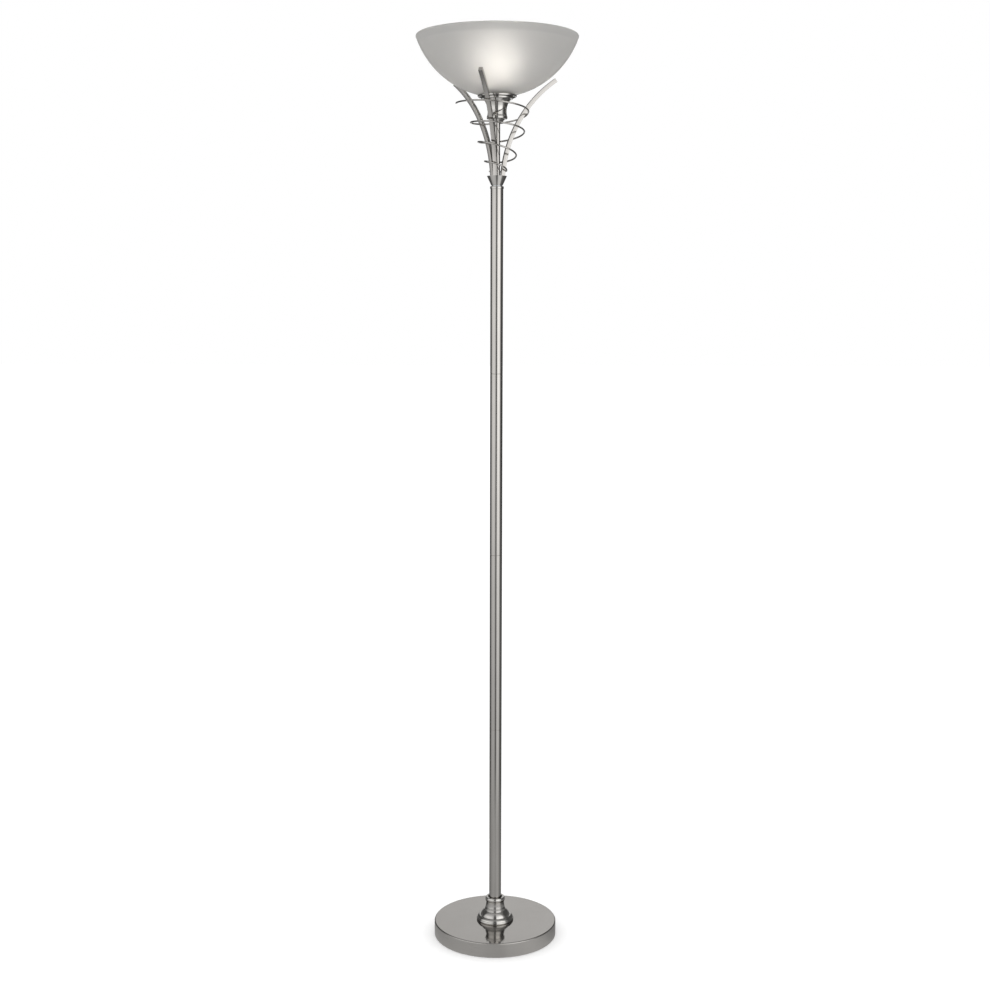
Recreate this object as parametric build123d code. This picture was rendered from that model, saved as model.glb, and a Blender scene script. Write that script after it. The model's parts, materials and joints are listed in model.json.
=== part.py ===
from build123d import *
import os
from math import asin, atan2, cos, degrees, hypot, pi, radians, sin, sqrt

# Torchiere floor lamp. Millimetres, +Z up, origin on the floor under the pole's axis.
# The front of the lamp faces -Y and the flex enters the base at +Y.

# Gaps between pieces
fit_gap = 0.1
slip_gap = 0.3

# Base: a spun cover over an iron weight, closed by a plate and a felt pad
base_r = 127.5
base_height = 31.0
base_edge_r = 2.5
cover_wall = 1.2
cover_floor_gap = 1.0
felt_thickness = 2.0
felt_inset = 4.0
plate_thickness = 2.5
weight_thickness = 12.0
weight_boss_r = 32.0
weight_web = 4.7
plate_screw_inset = 26.0
plate_screw_count = 3
plate_screw_first_angle = 30.0
plate_screw_r = 2.0
plate_screw_head_r = 3.8
plate_screw_head = 1.6
plate_screw_length = 11.0

# Flex entry and terminals in the base
flex_r = 3.5
gland_floor_gap = 1.1
gland_barrel_r = 5.5
gland_flange_r = 8.0
gland_flange = 2.5
gland_barrel = 9.0
gland_lip = 0.9
gland_lip_width = 2.0
terminal_y = 74.0
terminal_size_x = 26.0
terminal_size_y = 18.0
terminal_size_z = 10.0
terminal_pocket_gap = 2.0
terminal_screw_r = 2.2
terminal_screw_head = 1.4
terminal_pitch_x = 11.0
terminal_pitch_y = 9.0

# Hollow rod that clamps the base to the pole
rod_r = 4.9
rod_wall = 1.3
rod_engage = 18.0
base_nut_across = 17.0
base_nut_height = 6.0
base_washer_r = 12.0
base_washer = 1.5

# Bell collar on the base
collar_foot_r = 38.6
collar_bead = 5.2
collar_bead_bow = 0.8
collar_bead_step = 0.6
collar_shoulder = 5.4
collar_shoulder_in = 5.4
collar_shoulder_bow = 1.2
collar_shoulder_step = 1.4
collar_dome = 10.8
collar_dome_bow = 1.5
collar_cove = 6.8
collar_cove_r = 3.0
collar_cove_bow = 0.2
collar_neck = 13.2
collar_neck_wall = 6.1
collar_neck_swell = 1.8
collar_neck_step = 0.4
collar_neck_bow = 0.5
collar_lip = 8.6
collar_lip_swell = 0.9
collar_lip_bow = 1.0
collar_lip_edge = 1.2
collar_shell = 3.0
collar_recess_width = 2.2
collar_recess = 3.0
collar_seat_depth = 22.0
collar_web = 5.0

# Pole: four tubes screwed end to end
pole_r = 12.5
pole_wall = 1.0
pole_recess = 1.0
section_length = 365.0
section_count = 4
top_section_length = 363.0
tube_end_chamfer = 0.4
socket_length = 22.0
stud_plug_length = 16.0
stud_tail_length = 14.0
stud_tail_r = 6.5
stud_bore_r = 4.0
foot_insert_length = 24.0
top_insert_length = 24.0

# Bead, groove and flared crown on the pole's top
bead_height = 5.0
bead_swell = 1.0
bead_bow = 0.5
crown_groove = 2.0
crown_groove_step = 0.95
crown_flare = 8.3
crown_arm_gap = 0.34
crown_height = 17.6
crown_wall = 1.2
crown_floor = 1.5
hub_rim_drop = 1.1
hub_slot_depth = 4.0

# Three square bars that bow outwards
arm_count = 3
arm_first_angle = 14.7
arm_width = 8.0
arm_corner_r = 0.6
arm_hub_wall = 1.5
arm_foot_lean = 3.0
arm_tip_r = 118.0
arm_tip_gap = 10.3

# Spiral wire round the bars
wire_r = 1.6
wire_turns = 3.9
wire_seated_turn = 0.5
wire_level_turn = 3.5
wire_pitch = 36.4
wire_low_height = 14.9
wire_tilt = 4.5
wire_tilt_fade = 0.5
wire_sag = 8.5
wire_sag_turn = 2.5
wire_start_angle = 180.0
wire_end_flare = 5.0
wire_flare_turn = 0.25
wire_swell = 10.5
wire_lean = 0.5
wire_spans_per_turn = 4
wire_least_gap = 0.4
wire_seat_gap = 0.5
wire_gap_points = 400
wire_slope_step = 0.001

# Central stem
nipple_r = 4.9
nipple_wall = 1.3
nipple_engage = 20.0
nipple_top_engage = 10.5
stem_wall = 0.8
stem_length = 102.0
stem_nut_height = 6.0
stem_nut_foot_r = 10.0
stem_nut_top_r = 15.0

# Shade holder: cup, gallery ring and dish
cup_height = 37.5
cup_foot_swell = 1.7
cup_foot_round = 1.7
cup_foot_height = 2.6
cup_foot_bow = 0.65
cup_shoulder_swell = 0.7
cup_shoulder_height = 7.2
cup_shoulder_bow = 0.45
cup_waist_r = 18.2
cup_waist_height = 15.5
cup_waist_bow = 0.15
cup_rim_gap = 5.85
cup_wall = 1.6
cup_floor = 3.0
cup_flare_bow = 2.3
holder_nut_across = 17.0
holder_nut_height = 5.0
gallery_gap = 0.75
gallery_width = 8.4
gallery_bow = 0.6
dish_over = 6.5
dish_wall = 1.5
dish_rim = 2.4
dish_rim_width = 2.6
dish_rim_bow = 0.6
dish_lift = 2.2

# Frosted glass bowl, part of a sphere
bowl_sphere_r = 166.6
bowl_depth = 112.8
bowl_wall = 5.0
bowl_hole_gap = 1.25
gasket_thickness = 0.8
gasket_inset = 2.5
gasket_width = 9.5

# Lampholder for an E27 lamp, with the ring that clamps the bowl
holder_thread_r = 19.75
holder_top_height = 28.8
holder_cap_gap = 2.0
holder_cap_wall = 2.0
holder_cap_floor = 3.0
holder_web_drop = 6.7
holder_web = 3.5
holder_flange = 3.0
holder_flange_over = 2.5
holder_mouth = 1.0
shell_bore_r = 13.35
shell_wall = 0.4
shell_lift = 4.5
shell_length = 25.0
contact_r = 5.0
contact_height = 3.0
terminal_post_r = 2.0
terminal_post_length = 5.0
terminal_post_inset = 4.5
clamp_washer_width = 6.95
clamp_washer = 1.5
ring_width = 6.95
ring_height = 7.5
ring_grip_count = 12
ring_grip_r = 2.2

# Lamp, 60 mm globe on an E27 cap
lamp_cap_gap = 0.25
lamp_cap_length = 24.0
lamp_contact_r = 5.0
lamp_contact_height = 3.0
lamp_cap_taper = 5.0
lamp_globe_r = 30.0
lamp_neck_step = 0.5
lamp_neck_bend_r = 50.5
lamp_glass = 1.0
lamp_cap_wall = 0.8

# Lead from the terminals to the lampholder
lead_r = 2.5
lead_height = 0.7
lead_bend_r = 10.0
lead_end_gap = 1.0

# Radii that follow from the ones above
weight_r = base_r - cover_wall - slip_gap
plate_screw_circle_r = weight_r - plate_screw_inset
rod_hole_r = rod_r + slip_gap
gland_bore_r = flex_r + fit_gap
gland_lip_r = gland_barrel_r + gland_lip
pole_hole_r = pole_r + slip_gap
pole_bore_r = pole_r - pole_wall
insert_r = pole_bore_r - fit_gap / 2
collar_neck_r = pole_r + collar_neck_wall
collar_recess_r = pole_hole_r + collar_recess_width
crown_groove_r = insert_r - crown_groove_step
nipple_hole_r = nipple_r + slip_gap
stem_r = nipple_hole_r + stem_wall
arm_foot_r = nipple_hole_r + arm_hub_wall + slip_gap + arm_width / 2
arm_corner_reach = hypot(arm_foot_r + arm_width / 2, arm_width / 2)
crown_slope = crown_flare / crown_height
crown_skew_wall = crown_wall * hypot(1, crown_slope)
crown_rim_over = crown_slope * (hub_rim_drop + hub_slot_depth)
crown_rim_r = arm_corner_reach + crown_arm_gap + crown_skew_wall + crown_rim_over
crown_foot_r = crown_rim_r - crown_flare
cup_foot_r = cup_waist_r + cup_foot_swell
cup_base_r = cup_foot_r - cup_foot_round
cup_rim_r = holder_thread_r + cup_rim_gap + cup_wall
holder_cap_r = cup_waist_r - cup_wall - holder_cap_gap
holder_flange_r = holder_thread_r + holder_flange_over
holder_slip_r = holder_thread_r + slip_gap
terminal_post_x = holder_cap_r - holder_cap_wall - terminal_post_inset
gallery_inner_r = holder_flange_r + gallery_gap
gallery_r = gallery_inner_r + gallery_width
dish_r = gallery_r + dish_over
bowl_hole_r = holder_thread_r + bowl_hole_gap
gasket_inner_r = bowl_hole_r + gasket_inset
gasket_outer_r = gasket_inner_r + gasket_width
clamp_washer_r = holder_slip_r + clamp_washer_width
ring_r = holder_slip_r + ring_width
lamp_cap_r = shell_bore_r - lamp_cap_gap
lamp_neck_r = lamp_cap_r - lamp_neck_step

# Heights of the stack, from the floor up
plate_z = felt_thickness
weight_z = plate_z + plate_thickness
gland_z = weight_z + gland_lip_r + gland_floor_gap
lead_z = weight_z + lead_r + lead_height
cover_under_z = base_height - cover_wall
boss_top_z = cover_under_z - fit_gap
web_under_z = boss_top_z - weight_web
base_washer_z = web_under_z - base_washer
base_nut_z = base_washer_z - base_nut_height
collar_bead_z = base_height + collar_bead
collar_shoulder_z = collar_bead_z + collar_shoulder
collar_dome_z = collar_shoulder_z + collar_dome
collar_neck_z = collar_dome_z + collar_cove
collar_lip_z = collar_neck_z + collar_neck
collar_top_z = collar_lip_z + collar_lip
pole_foot_z = collar_top_z - collar_seat_depth
pole_start_z = collar_top_z - pole_recess
joint_z = [pole_start_z + section_length * k for k in range(1, section_count)]
pole_top_z = joint_z[-1] + top_section_length
crown_z = pole_top_z + crown_groove
crown_rim_z = crown_z + crown_height
hub_top_z = crown_rim_z - hub_rim_drop
arm_foot_z = hub_top_z - hub_slot_depth
stem_top_z = hub_top_z + stem_length
cup_z = stem_top_z + stem_nut_height
cup_top_z = cup_z + cup_height
bowl_bottom_z = cup_top_z + holder_flange + dish_lift
bowl_centre_z = bowl_bottom_z + bowl_sphere_r
bowl_rim_z = bowl_bottom_z + bowl_depth
holder_nut_z = cup_z + cup_floor
nipple_foot_z = pole_top_z - nipple_engage
nipple_top_z = holder_nut_z + holder_nut_height + nipple_top_engage
holder_cap_z = holder_nut_z + holder_nut_height + slip_gap
holder_web_top_z = bowl_bottom_z - holder_web_drop
holder_body_z = holder_web_top_z - holder_web
holder_top_z = bowl_bottom_z + holder_top_height
dish_under = gasket_thickness + 2 * fit_gap + dish_wall
lamp_contact_z = holder_web_top_z + contact_height + slip_gap
lamp_cap_z = lamp_contact_z + lamp_contact_height
lamp_neck_z = lamp_cap_z + lamp_cap_length
lamp_rise = sqrt((lamp_globe_r + lamp_neck_bend_r) ** 2 - (lamp_neck_r + lamp_neck_bend_r) ** 2)
lamp_globe_z = lamp_neck_z + lamp_rise


def turned(points):
    """Turn a closed outline of (radius, height) points about Z.

    A third value bows the edge that ends at that point, to the right of its way.
    """
    edges = []
    for start, end in zip(points, points[1:] + points[:1]):
        bow = end[2] if len(end) > 2 else 0.0
        dr = end[0] - start[0]
        dz = end[1] - start[1]
        if bow:
            chord = hypot(dr, dz)
            middle = ((start[0] + end[0]) / 2 + bow * dz / chord, (start[1] + end[1]) / 2 - bow * dr / chord)
            edges.append(ThreePointArc(start[:2], middle, end[:2]))
        else:
            edges.append(Line(start[:2], end[:2]))
    return revolve(Plane.XZ * make_face(edges), Axis.Z)


def sleeve(outer_r, inner_r, low_z, high_z):
    """Round tube or washer standing on the axis."""
    return turned([(inner_r, low_z), (outer_r, low_z), (outer_r, high_z), (inner_r, high_z)])


def bar(radius, low_z, high_z):
    """Plain round bar standing on the axis."""
    return Pos(0, 0, low_z) * extrude(Circle(radius), high_z - low_z)


def hex_nut(across, bore_r, low_z, height):
    """Hexagon nut, given its width across the flats."""
    flat = RegularPolygon(across / 2, 6, major_radius=False) - Circle(bore_r)
    return Pos(0, 0, low_z) * extrude(flat, height)


def sphere_z(offset, radius):
    """Height of the bowl's sphere, grown by offset, at a radius from the axis."""
    return bowl_centre_z - sqrt((bowl_sphere_r + offset) ** 2 - radius**2)


def sphere_bow(offset, first_r, second_r):
    """How far that sphere stands below the chord between two radii."""
    sphere = bowl_sphere_r + offset
    half_chord = hypot(second_r - first_r, sphere_z(offset, second_r) - sphere_z(offset, first_r)) / 2
    return sphere - sqrt(sphere**2 - half_chord**2)


def fillet_bow(radius):
    """Rise of a quarter-round edge over its chord."""
    return radius * (1 - sqrt(0.5))


# Base

def felt_pad():
    return sleeve(weight_r - felt_inset, base_washer_r, 0, felt_thickness)


def screw_places():
    step = 360 / plate_screw_count
    angles = [plate_screw_first_angle + step * k for k in range(plate_screw_count)]
    return [Rot(0, 0, angle) * Pos(plate_screw_circle_r, 0, 0) for angle in angles]


def base_plate():
    plate = sleeve(weight_r, base_washer_r, plate_z, weight_z)
    for place in screw_places():
        hole = bar(plate_screw_r + slip_gap, plate_z, weight_z)
        seat = bar(plate_screw_head_r + slip_gap, plate_z, plate_z + plate_screw_head)
        plate -= place * (hole + seat)
    return plate


def plate_screws():
    head = bar(plate_screw_head_r, plate_z, plate_z + plate_screw_head)
    shank = bar(plate_screw_r, plate_z + plate_screw_head, plate_z + plate_screw_length)
    return Compound([place * (head + shank) for place in screw_places()])


def base_weight():
    disc_top_z = weight_z + weight_thickness
    pocket_x = terminal_size_x + 2 * terminal_pocket_gap
    pocket_y = terminal_size_y + 2 * terminal_pocket_gap
    nut_well_r = base_washer_r + terminal_pocket_gap
    weight = turned([
        (rod_hole_r, web_under_z), (nut_well_r, web_under_z), (nut_well_r, weight_z), (weight_r, weight_z),
        (weight_r, disc_top_z), (weight_boss_r, disc_top_z), (weight_boss_r, boss_top_z),
        (rod_hole_r, boss_top_z),
    ])
    pocket = Pos(0, terminal_y, disc_top_z / 2) * Box(pocket_x, pocket_y, disc_top_z)
    lead_slot_width = 2 * (lead_r + terminal_pocket_gap)
    lead_slot_top = lead_z + lead_r + lead_height
    lead_slot = Pos(0, terminal_y / 2, lead_slot_top / 2) * Box(lead_slot_width, terminal_y, lead_slot_top)
    flex_slot_width = 2 * (gland_lip_r + terminal_pocket_gap)
    flex_slot_length = weight_r - terminal_y + terminal_pocket_gap
    flex_slot = Pos(0, terminal_y + flex_slot_length / 2, base_height / 2) * Box(
        flex_slot_width, flex_slot_length, base_height)
    weight -= pocket + lead_slot + flex_slot
    for place in screw_places():
        weight -= place * bar(plate_screw_r + fit_gap, weight_z, plate_z + plate_screw_length + slip_gap)
    return weight


def base_cover():
    inner_edge_r = base_edge_r - cover_wall
    side_r = base_r - cover_wall
    shell = turned([
        (rod_hole_r, cover_under_z), (base_r - base_edge_r, cover_under_z),
        (side_r, base_height - base_edge_r, -fillet_bow(inner_edge_r)), (side_r, cover_floor_gap),
        (base_r, cover_floor_gap), (base_r, base_height - base_edge_r),
        (base_r - base_edge_r, base_height, fillet_bow(base_edge_r)), (rod_hole_r, base_height),
    ])
    hole = Pos(0, base_r, gland_z) * Rot(90, 0, 0) * Cylinder(gland_barrel_r + fit_gap, 2 * gland_barrel)
    return shell - hole


def cord_gland():
    """Bushing turned about its own axis, then laid through the base's back wall."""
    inner_face = -cover_wall - fit_gap
    deep = -gland_barrel
    bushing = turned([
        (gland_bore_r, deep), (gland_barrel_r, deep), (gland_lip_r, inner_face - gland_lip_width),
        (gland_lip_r, inner_face), (gland_barrel_r, inner_face), (gland_barrel_r, fit_gap),
        (gland_flange_r, fit_gap), (gland_flange_r, gland_flange), (gland_bore_r, gland_flange),
    ])
    flange_face_y = sqrt(base_r**2 - gland_barrel_r**2)
    curved_wall = bar(base_r + fit_gap, 0, base_height) - bar(
        base_r - cover_wall - fit_gap, 0, base_height)
    barrel_core = Pos(0, base_r, gland_z) * Rot(90, 0, 0) * Cylinder(gland_barrel_r, 2 * gland_barrel)
    return Pos(0, flange_face_y, gland_z) * Rot(-90, 0, 0) * bushing - (curved_wall - barrel_core)


def terminal_block():
    block = Box(terminal_size_x, terminal_size_y, terminal_size_z)
    return Pos(0, terminal_y, weight_z + terminal_size_z / 2) * block


def terminal_screws():
    block_top_z = weight_z + terminal_size_z
    head = bar(terminal_screw_r, block_top_z, block_top_z + terminal_screw_head)
    places = GridLocations(terminal_pitch_x, terminal_pitch_y, 2, 2)
    return Compound([Pos(0, terminal_y, 0) * place * head for place in places])


def base_collar():
    """Bell with a double bead at its foot, an ogee dome, a waisted neck and a rounded lip."""
    foot_z = base_height
    bead_r = collar_foot_r - collar_bead_bow
    shoulder_r = bead_r - collar_bead_step
    shoulder_top_r = shoulder_r - collar_shoulder_in
    dome_r = shoulder_top_r - collar_shoulder_step
    cove_r = collar_neck_r + collar_cove_r
    neck_foot_r = collar_neck_r + collar_neck_swell
    lip_r = collar_neck_r + collar_lip_swell
    lip_edge_z = collar_top_z - collar_lip_edge
    hollow_r = shoulder_top_r - collar_shell
    web_z = pole_foot_z - collar_web
    hollow_neck_r = collar_neck_r - collar_shell
    return turned([
        (hollow_r, foot_z), (bead_r, foot_z), (bead_r, collar_bead_z, collar_bead_bow),
        (shoulder_r, collar_bead_z), (shoulder_top_r, collar_shoulder_z, collar_shoulder_bow),
        (dome_r, collar_shoulder_z), (cove_r, collar_dome_z, collar_dome_bow),
        (neck_foot_r, collar_neck_z, -collar_cove_bow), (neck_foot_r - collar_neck_step, collar_neck_z),
        (collar_neck_r, collar_lip_z, -collar_neck_bow), (lip_r, collar_lip_z),
        (lip_r, lip_edge_z, collar_lip_bow),
        (lip_r - collar_lip_edge, collar_top_z, fillet_bow(collar_lip_edge)),
        (collar_recess_r, collar_top_z), (collar_recess_r, collar_top_z - collar_recess),
        (pole_hole_r, collar_top_z - collar_recess), (pole_hole_r, pole_foot_z), (rod_hole_r, pole_foot_z),
        (rod_hole_r, web_z), (hollow_neck_r, web_z), (hollow_neck_r, collar_bead_z),
    ])


def base_rod():
    return sleeve(rod_r, rod_r - rod_wall, base_nut_z, pole_foot_z + rod_engage)


def base_nut():
    return hex_nut(base_nut_across, rod_r + fit_gap, base_nut_z, base_nut_height)


def base_washer_ring():
    return sleeve(base_washer_r, rod_hole_r, base_washer_z, web_under_z)


# Pole

def pole_tube(low_z, high_z):
    c = tube_end_chamfer
    return turned([
        (pole_bore_r, low_z), (pole_r - c, low_z), (pole_r, low_z + c), (pole_r, high_z - c),
        (pole_r - c, high_z), (pole_bore_r, high_z),
    ])


def tube_ends():
    """Foot and top height of each tube, from the lowest up."""
    levels = [pole_foot_z] + joint_z + [pole_top_z]
    return list(zip(levels, levels[1:]))


def joint_socket(top_z):
    """Threaded bush in the top of the lower tube."""
    return sleeve(insert_r, stud_tail_r + fit_gap, top_z - socket_length, top_z)


def joint_stud(foot_z):
    """Plug in the foot of the upper tube, with a threaded tail."""
    return turned([
        (stud_bore_r, foot_z - stud_tail_length), (stud_tail_r, foot_z - stud_tail_length),
        (stud_tail_r, foot_z), (insert_r, foot_z), (insert_r, foot_z + stud_plug_length),
        (stud_bore_r, foot_z + stud_plug_length),
    ])


def foot_insert():
    return sleeve(insert_r, rod_r + fit_gap, pole_foot_z, pole_foot_z + foot_insert_length)


def top_insert():
    foot_z = pole_top_z - top_insert_length
    bore_r = nipple_r + fit_gap
    return turned([
        (bore_r, foot_z), (insert_r, foot_z), (insert_r, pole_top_z), (crown_groove_r, pole_top_z),
        (crown_groove_r, crown_z), (bore_r, crown_z),
    ])


def pole_bead():
    low_z = pole_top_z - bead_height
    inner_r = pole_r + fit_gap
    edge_r = pole_r + bead_swell - bead_bow
    return turned([(inner_r, low_z), (edge_r, low_z), (edge_r, pole_top_z, bead_bow), (inner_r, pole_top_z)])


# Crown and bars

def crown_inner_r(z):
    """Radius of the crown's inner face."""
    return crown_foot_r + crown_slope * (z - crown_z) - crown_skew_wall


def crown_cup():
    floor_z = crown_z + crown_floor
    return turned([
        (nipple_hole_r, crown_z), (crown_foot_r, crown_z), (crown_rim_r, crown_rim_z),
        (crown_inner_r(crown_rim_z), crown_rim_z), (crown_inner_r(floor_z), floor_z),
        (nipple_hole_r, floor_z),
    ])


def crown_hub():
    floor_z = crown_z + crown_floor
    hub = turned([
        (nipple_hole_r, floor_z), (crown_inner_r(floor_z) - slip_gap, floor_z),
        (crown_inner_r(hub_top_z) - slip_gap, hub_top_z), (nipple_hole_r, hub_top_z),
    ])
    slot_low_z = arm_foot_z - slip_gap
    slot_inner_r = arm_foot_r - arm_width / 2 - slip_gap
    slot = Pos((slot_inner_r + crown_rim_r) / 2, 0, (slot_low_z + crown_rim_z) / 2) * Box(
        crown_rim_r - slot_inner_r, arm_width + 2 * slip_gap, crown_rim_z - slot_low_z)
    for angle in arm_angles():
        hub -= Rot(0, 0, angle) * slot
    return hub


def arm_angles():
    return [arm_first_angle + 360 / arm_count * k for k in range(arm_count)]


# Each bar's centre line is an arc from its leaning foot to its tip under the bowl
arm_rise = sphere_z(arm_tip_gap, arm_tip_r) - arm_foot_z
arm_chord = hypot(arm_tip_r - arm_foot_r, arm_rise)
arm_chord_lean = atan2(arm_tip_r - arm_foot_r, arm_rise)
arm_half_turn = arm_chord_lean - radians(arm_foot_lean)
arm_bend_r = arm_chord / (2 * sin(arm_half_turn))
arm_centre_r = arm_foot_r + arm_bend_r * cos(radians(arm_foot_lean))
arm_centre_z = arm_foot_z - arm_bend_r * sin(radians(arm_foot_lean))


def arm(angle):
    rise_dir = (sin(radians(arm_foot_lean)), 0, cos(radians(arm_foot_lean)))
    foot = Plane((arm_foot_r, 0, arm_foot_z), x_dir=(0, 1, 0), z_dir=rise_dir)
    section = foot * RectangleRounded(arm_width, arm_width, arm_corner_r)
    pivot = Axis((arm_centre_r, 0, arm_centre_z), (0, 1, 0))
    return Rot(0, 0, angle) * revolve(section, pivot, 2 * degrees(arm_half_turn))


# Spiral wire

def wire_seat_r(z):
    """Radius at which the wire lies on the outer faces of the bars."""
    lean = asin((z - arm_centre_z) / arm_bend_r)
    return arm_centre_r - arm_bend_r * cos(lean) + (arm_width / 2 + wire_r + wire_seat_gap) / cos(lean)


def wire_point(turn):
    """Point of the wire's centre line, counted in turns from its top end.

    It lies on the bars in its first half turn and its level last one, and swells off them between.
    Its turns are tilted, higher at the front, and the third of them sags at the right.
    """
    angle = radians(wire_start_angle) + 2 * pi * turn
    z = arm_foot_z + wire_low_height + wire_pitch * max(wire_level_turn - turn, 0.0)
    z -= wire_tilt * min(max((wire_level_turn - turn) / wire_tilt_fade, 0.0), 1.0) * sin(angle)
    z -= wire_sag * sin(pi / 2 * max(0.0, 1 - 2 * abs(turn - wire_sag_turn))) ** 2
    free = min(max((turn - wire_seated_turn) / (wire_level_turn - wire_seated_turn), 0.0), 1.0)
    radius = wire_seat_r(z) + wire_swell * sin(pi * free) * (1 + wire_lean * cos(angle))
    radius += wire_end_flare * max(0.0, 1 - turn / wire_flare_turn) ** 2
    return Vector(radius * cos(angle), radius * sin(angle), z)


def wire_direction(turn):
    return (wire_point(turn + wire_slope_step) - wire_point(turn - wire_slope_step)).normalized()


def biarc(start, start_dir, end, end_dir):
    """Two arcs that join two points with given directions."""
    chord = end - start
    turn_term = 2 * (1 - start_dir.dot(end_dir))
    along = chord.dot(start_dir + end_dir)
    reach = (sqrt(along**2 + turn_term * chord.dot(chord)) - along) / turn_term
    middle = (start + start_dir * reach + end - end_dir * reach) * 0.5
    first = TangentArc(start, middle, tangent=start_dir)
    return [first, TangentArc(middle, end, tangent=first % 1)]


def wire_path():
    spans = round(wire_turns * wire_spans_per_turn)
    knots = [wire_turns * k / spans for k in range(spans + 1)]
    edges = []
    for low, high in zip(knots, knots[1:]):
        edges += biarc(wire_point(low), wire_direction(low), wire_point(high), wire_direction(high))
    return Wire(edges)


def wire_self_gap(path):
    """Least clear distance between points of the wire more than half a turn apart."""
    points = [path @ (k / wire_gap_points) for k in range(wire_gap_points + 1)]
    apart = round(wire_gap_points / wire_turns / 2)
    gaps = [(first - second).length for k, first in enumerate(points) for second in points[k + apart:]]
    return min(gaps) - 2 * wire_r


def spiral_wire():
    path = wire_path()
    gap = wire_self_gap(path)
    print("spiral wire least gap to itself:", round(gap, 2), "mm")
    assert gap > wire_least_gap
    tube = sweep(Plane(path @ 0, z_dir=path % 0) * Circle(wire_r), path)
    expected = pi * wire_r**2 * path.length
    print("spiral wire volume over section times length:", round(tube.volume / expected, 4))
    return tube


# Central stem and shade holder

def centre_nipple():
    return sleeve(nipple_r, nipple_r - nipple_wall, nipple_foot_z, nipple_top_z)


def stem_sleeve():
    return sleeve(stem_r, nipple_hole_r, hub_top_z, stem_top_z)


def stem_nut():
    bore_r = nipple_r + fit_gap
    return turned([
        (bore_r, stem_top_z), (stem_nut_foot_r, stem_top_z), (stem_nut_top_r, cup_z), (bore_r, cup_z),
    ])


def holder_cup():
    """Turned cup: beaded foot, waist and a flare up to the gallery ring."""
    foot_z = cup_z + cup_foot_height
    shoulder_r = cup_waist_r + cup_shoulder_swell
    shoulder_z = cup_z + cup_shoulder_height
    waist_z = cup_z + cup_waist_height
    floor_z = cup_z + cup_floor
    inner_waist_r = cup_waist_r - cup_wall
    return turned([
        (nipple_hole_r, cup_z), (cup_base_r, cup_z), (cup_foot_r, foot_z, cup_foot_bow),
        (shoulder_r, shoulder_z, cup_shoulder_bow), (cup_waist_r, waist_z, -cup_waist_bow),
        (cup_rim_r, cup_top_z, -cup_flare_bow),
        (cup_rim_r - cup_wall, cup_top_z), (inner_waist_r, waist_z, cup_flare_bow), (inner_waist_r, floor_z),
        (nipple_hole_r, floor_z),
    ])


def holder_nut():
    return hex_nut(holder_nut_across, nipple_r + fit_gap, holder_nut_z, holder_nut_height)


def gallery_ring():
    """Turned ring between the cup's rim and the dish, with its top cut to the dish."""
    inner_r = gallery_inner_r
    top = dish_under + fit_gap
    edge_r = gallery_r - gallery_bow
    return turned([
        (inner_r, cup_top_z), (edge_r, cup_top_z), (edge_r, sphere_z(top, edge_r), gallery_bow),
        (inner_r, sphere_z(top, inner_r), -sphere_bow(top, inner_r, edge_r)),
    ])


def sphere_band(low_offset, high_offset, inner_r, outer_r):
    """Shell between two spheres about the bowl's centre."""
    return turned([
        (inner_r, sphere_z(low_offset, inner_r)),
        (outer_r, sphere_z(low_offset, outer_r), sphere_bow(low_offset, inner_r, outer_r)),
        (outer_r, sphere_z(high_offset, outer_r)),
        (inner_r, sphere_z(high_offset, inner_r), -sphere_bow(high_offset, inner_r, outer_r)),
    ])


def gallery_dish():
    """Spun dish that follows the bowl's sphere, with a rolled rim that hangs below it."""
    inner_r = holder_slip_r
    edge_r = dish_r - dish_rim_bow
    rim_in_r = dish_r - dish_rim_width
    low = dish_under
    high = dish_under - dish_wall
    rim_z = sphere_z(low, rim_in_r) - dish_rim
    return turned([
        (inner_r, sphere_z(low, inner_r)),
        (rim_in_r, sphere_z(low, rim_in_r), sphere_bow(low, inner_r, rim_in_r)),
        (rim_in_r, rim_z), (edge_r, rim_z), (edge_r, sphere_z(high, edge_r), dish_rim_bow),
        (inner_r, sphere_z(high, inner_r), -sphere_bow(high, inner_r, edge_r)),
    ])


def lower_gasket():
    return sphere_band(gasket_thickness + fit_gap, fit_gap, gasket_inner_r, gasket_outer_r)


def glass_bowl():
    """Bowl with a full-round lip whose top is the lamp's highest point."""
    middle_r = bowl_sphere_r - bowl_wall / 2
    lip_angle = asin((bowl_centre_z - bowl_rim_z + bowl_wall / 2) / middle_r)
    inner_sphere_r = bowl_sphere_r - bowl_wall
    outer_lip_r = bowl_sphere_r * cos(lip_angle)
    inner_lip_r = inner_sphere_r * cos(lip_angle)
    return turned([
        (bowl_hole_r, sphere_z(0, bowl_hole_r)),
        (outer_lip_r, sphere_z(0, outer_lip_r), sphere_bow(0, bowl_hole_r, outer_lip_r)),
        (inner_lip_r, sphere_z(-bowl_wall, inner_lip_r), bowl_wall / 2),
        (bowl_hole_r, sphere_z(-bowl_wall, bowl_hole_r), -sphere_bow(-bowl_wall, bowl_hole_r, inner_lip_r)),
    ])


# Lampholder and lamp

def lampholder_cap():
    floor_z = holder_cap_z + holder_cap_floor
    inner_r = holder_cap_r - holder_cap_wall
    return turned([
        (nipple_r + fit_gap, holder_cap_z), (holder_cap_r - holder_cap_floor, holder_cap_z),
        (holder_cap_r, floor_z, fillet_bow(holder_cap_floor)), (holder_cap_r, holder_body_z),
        (inner_r, holder_body_z), (inner_r, floor_z), (nipple_r + fit_gap, floor_z),
    ])


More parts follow.
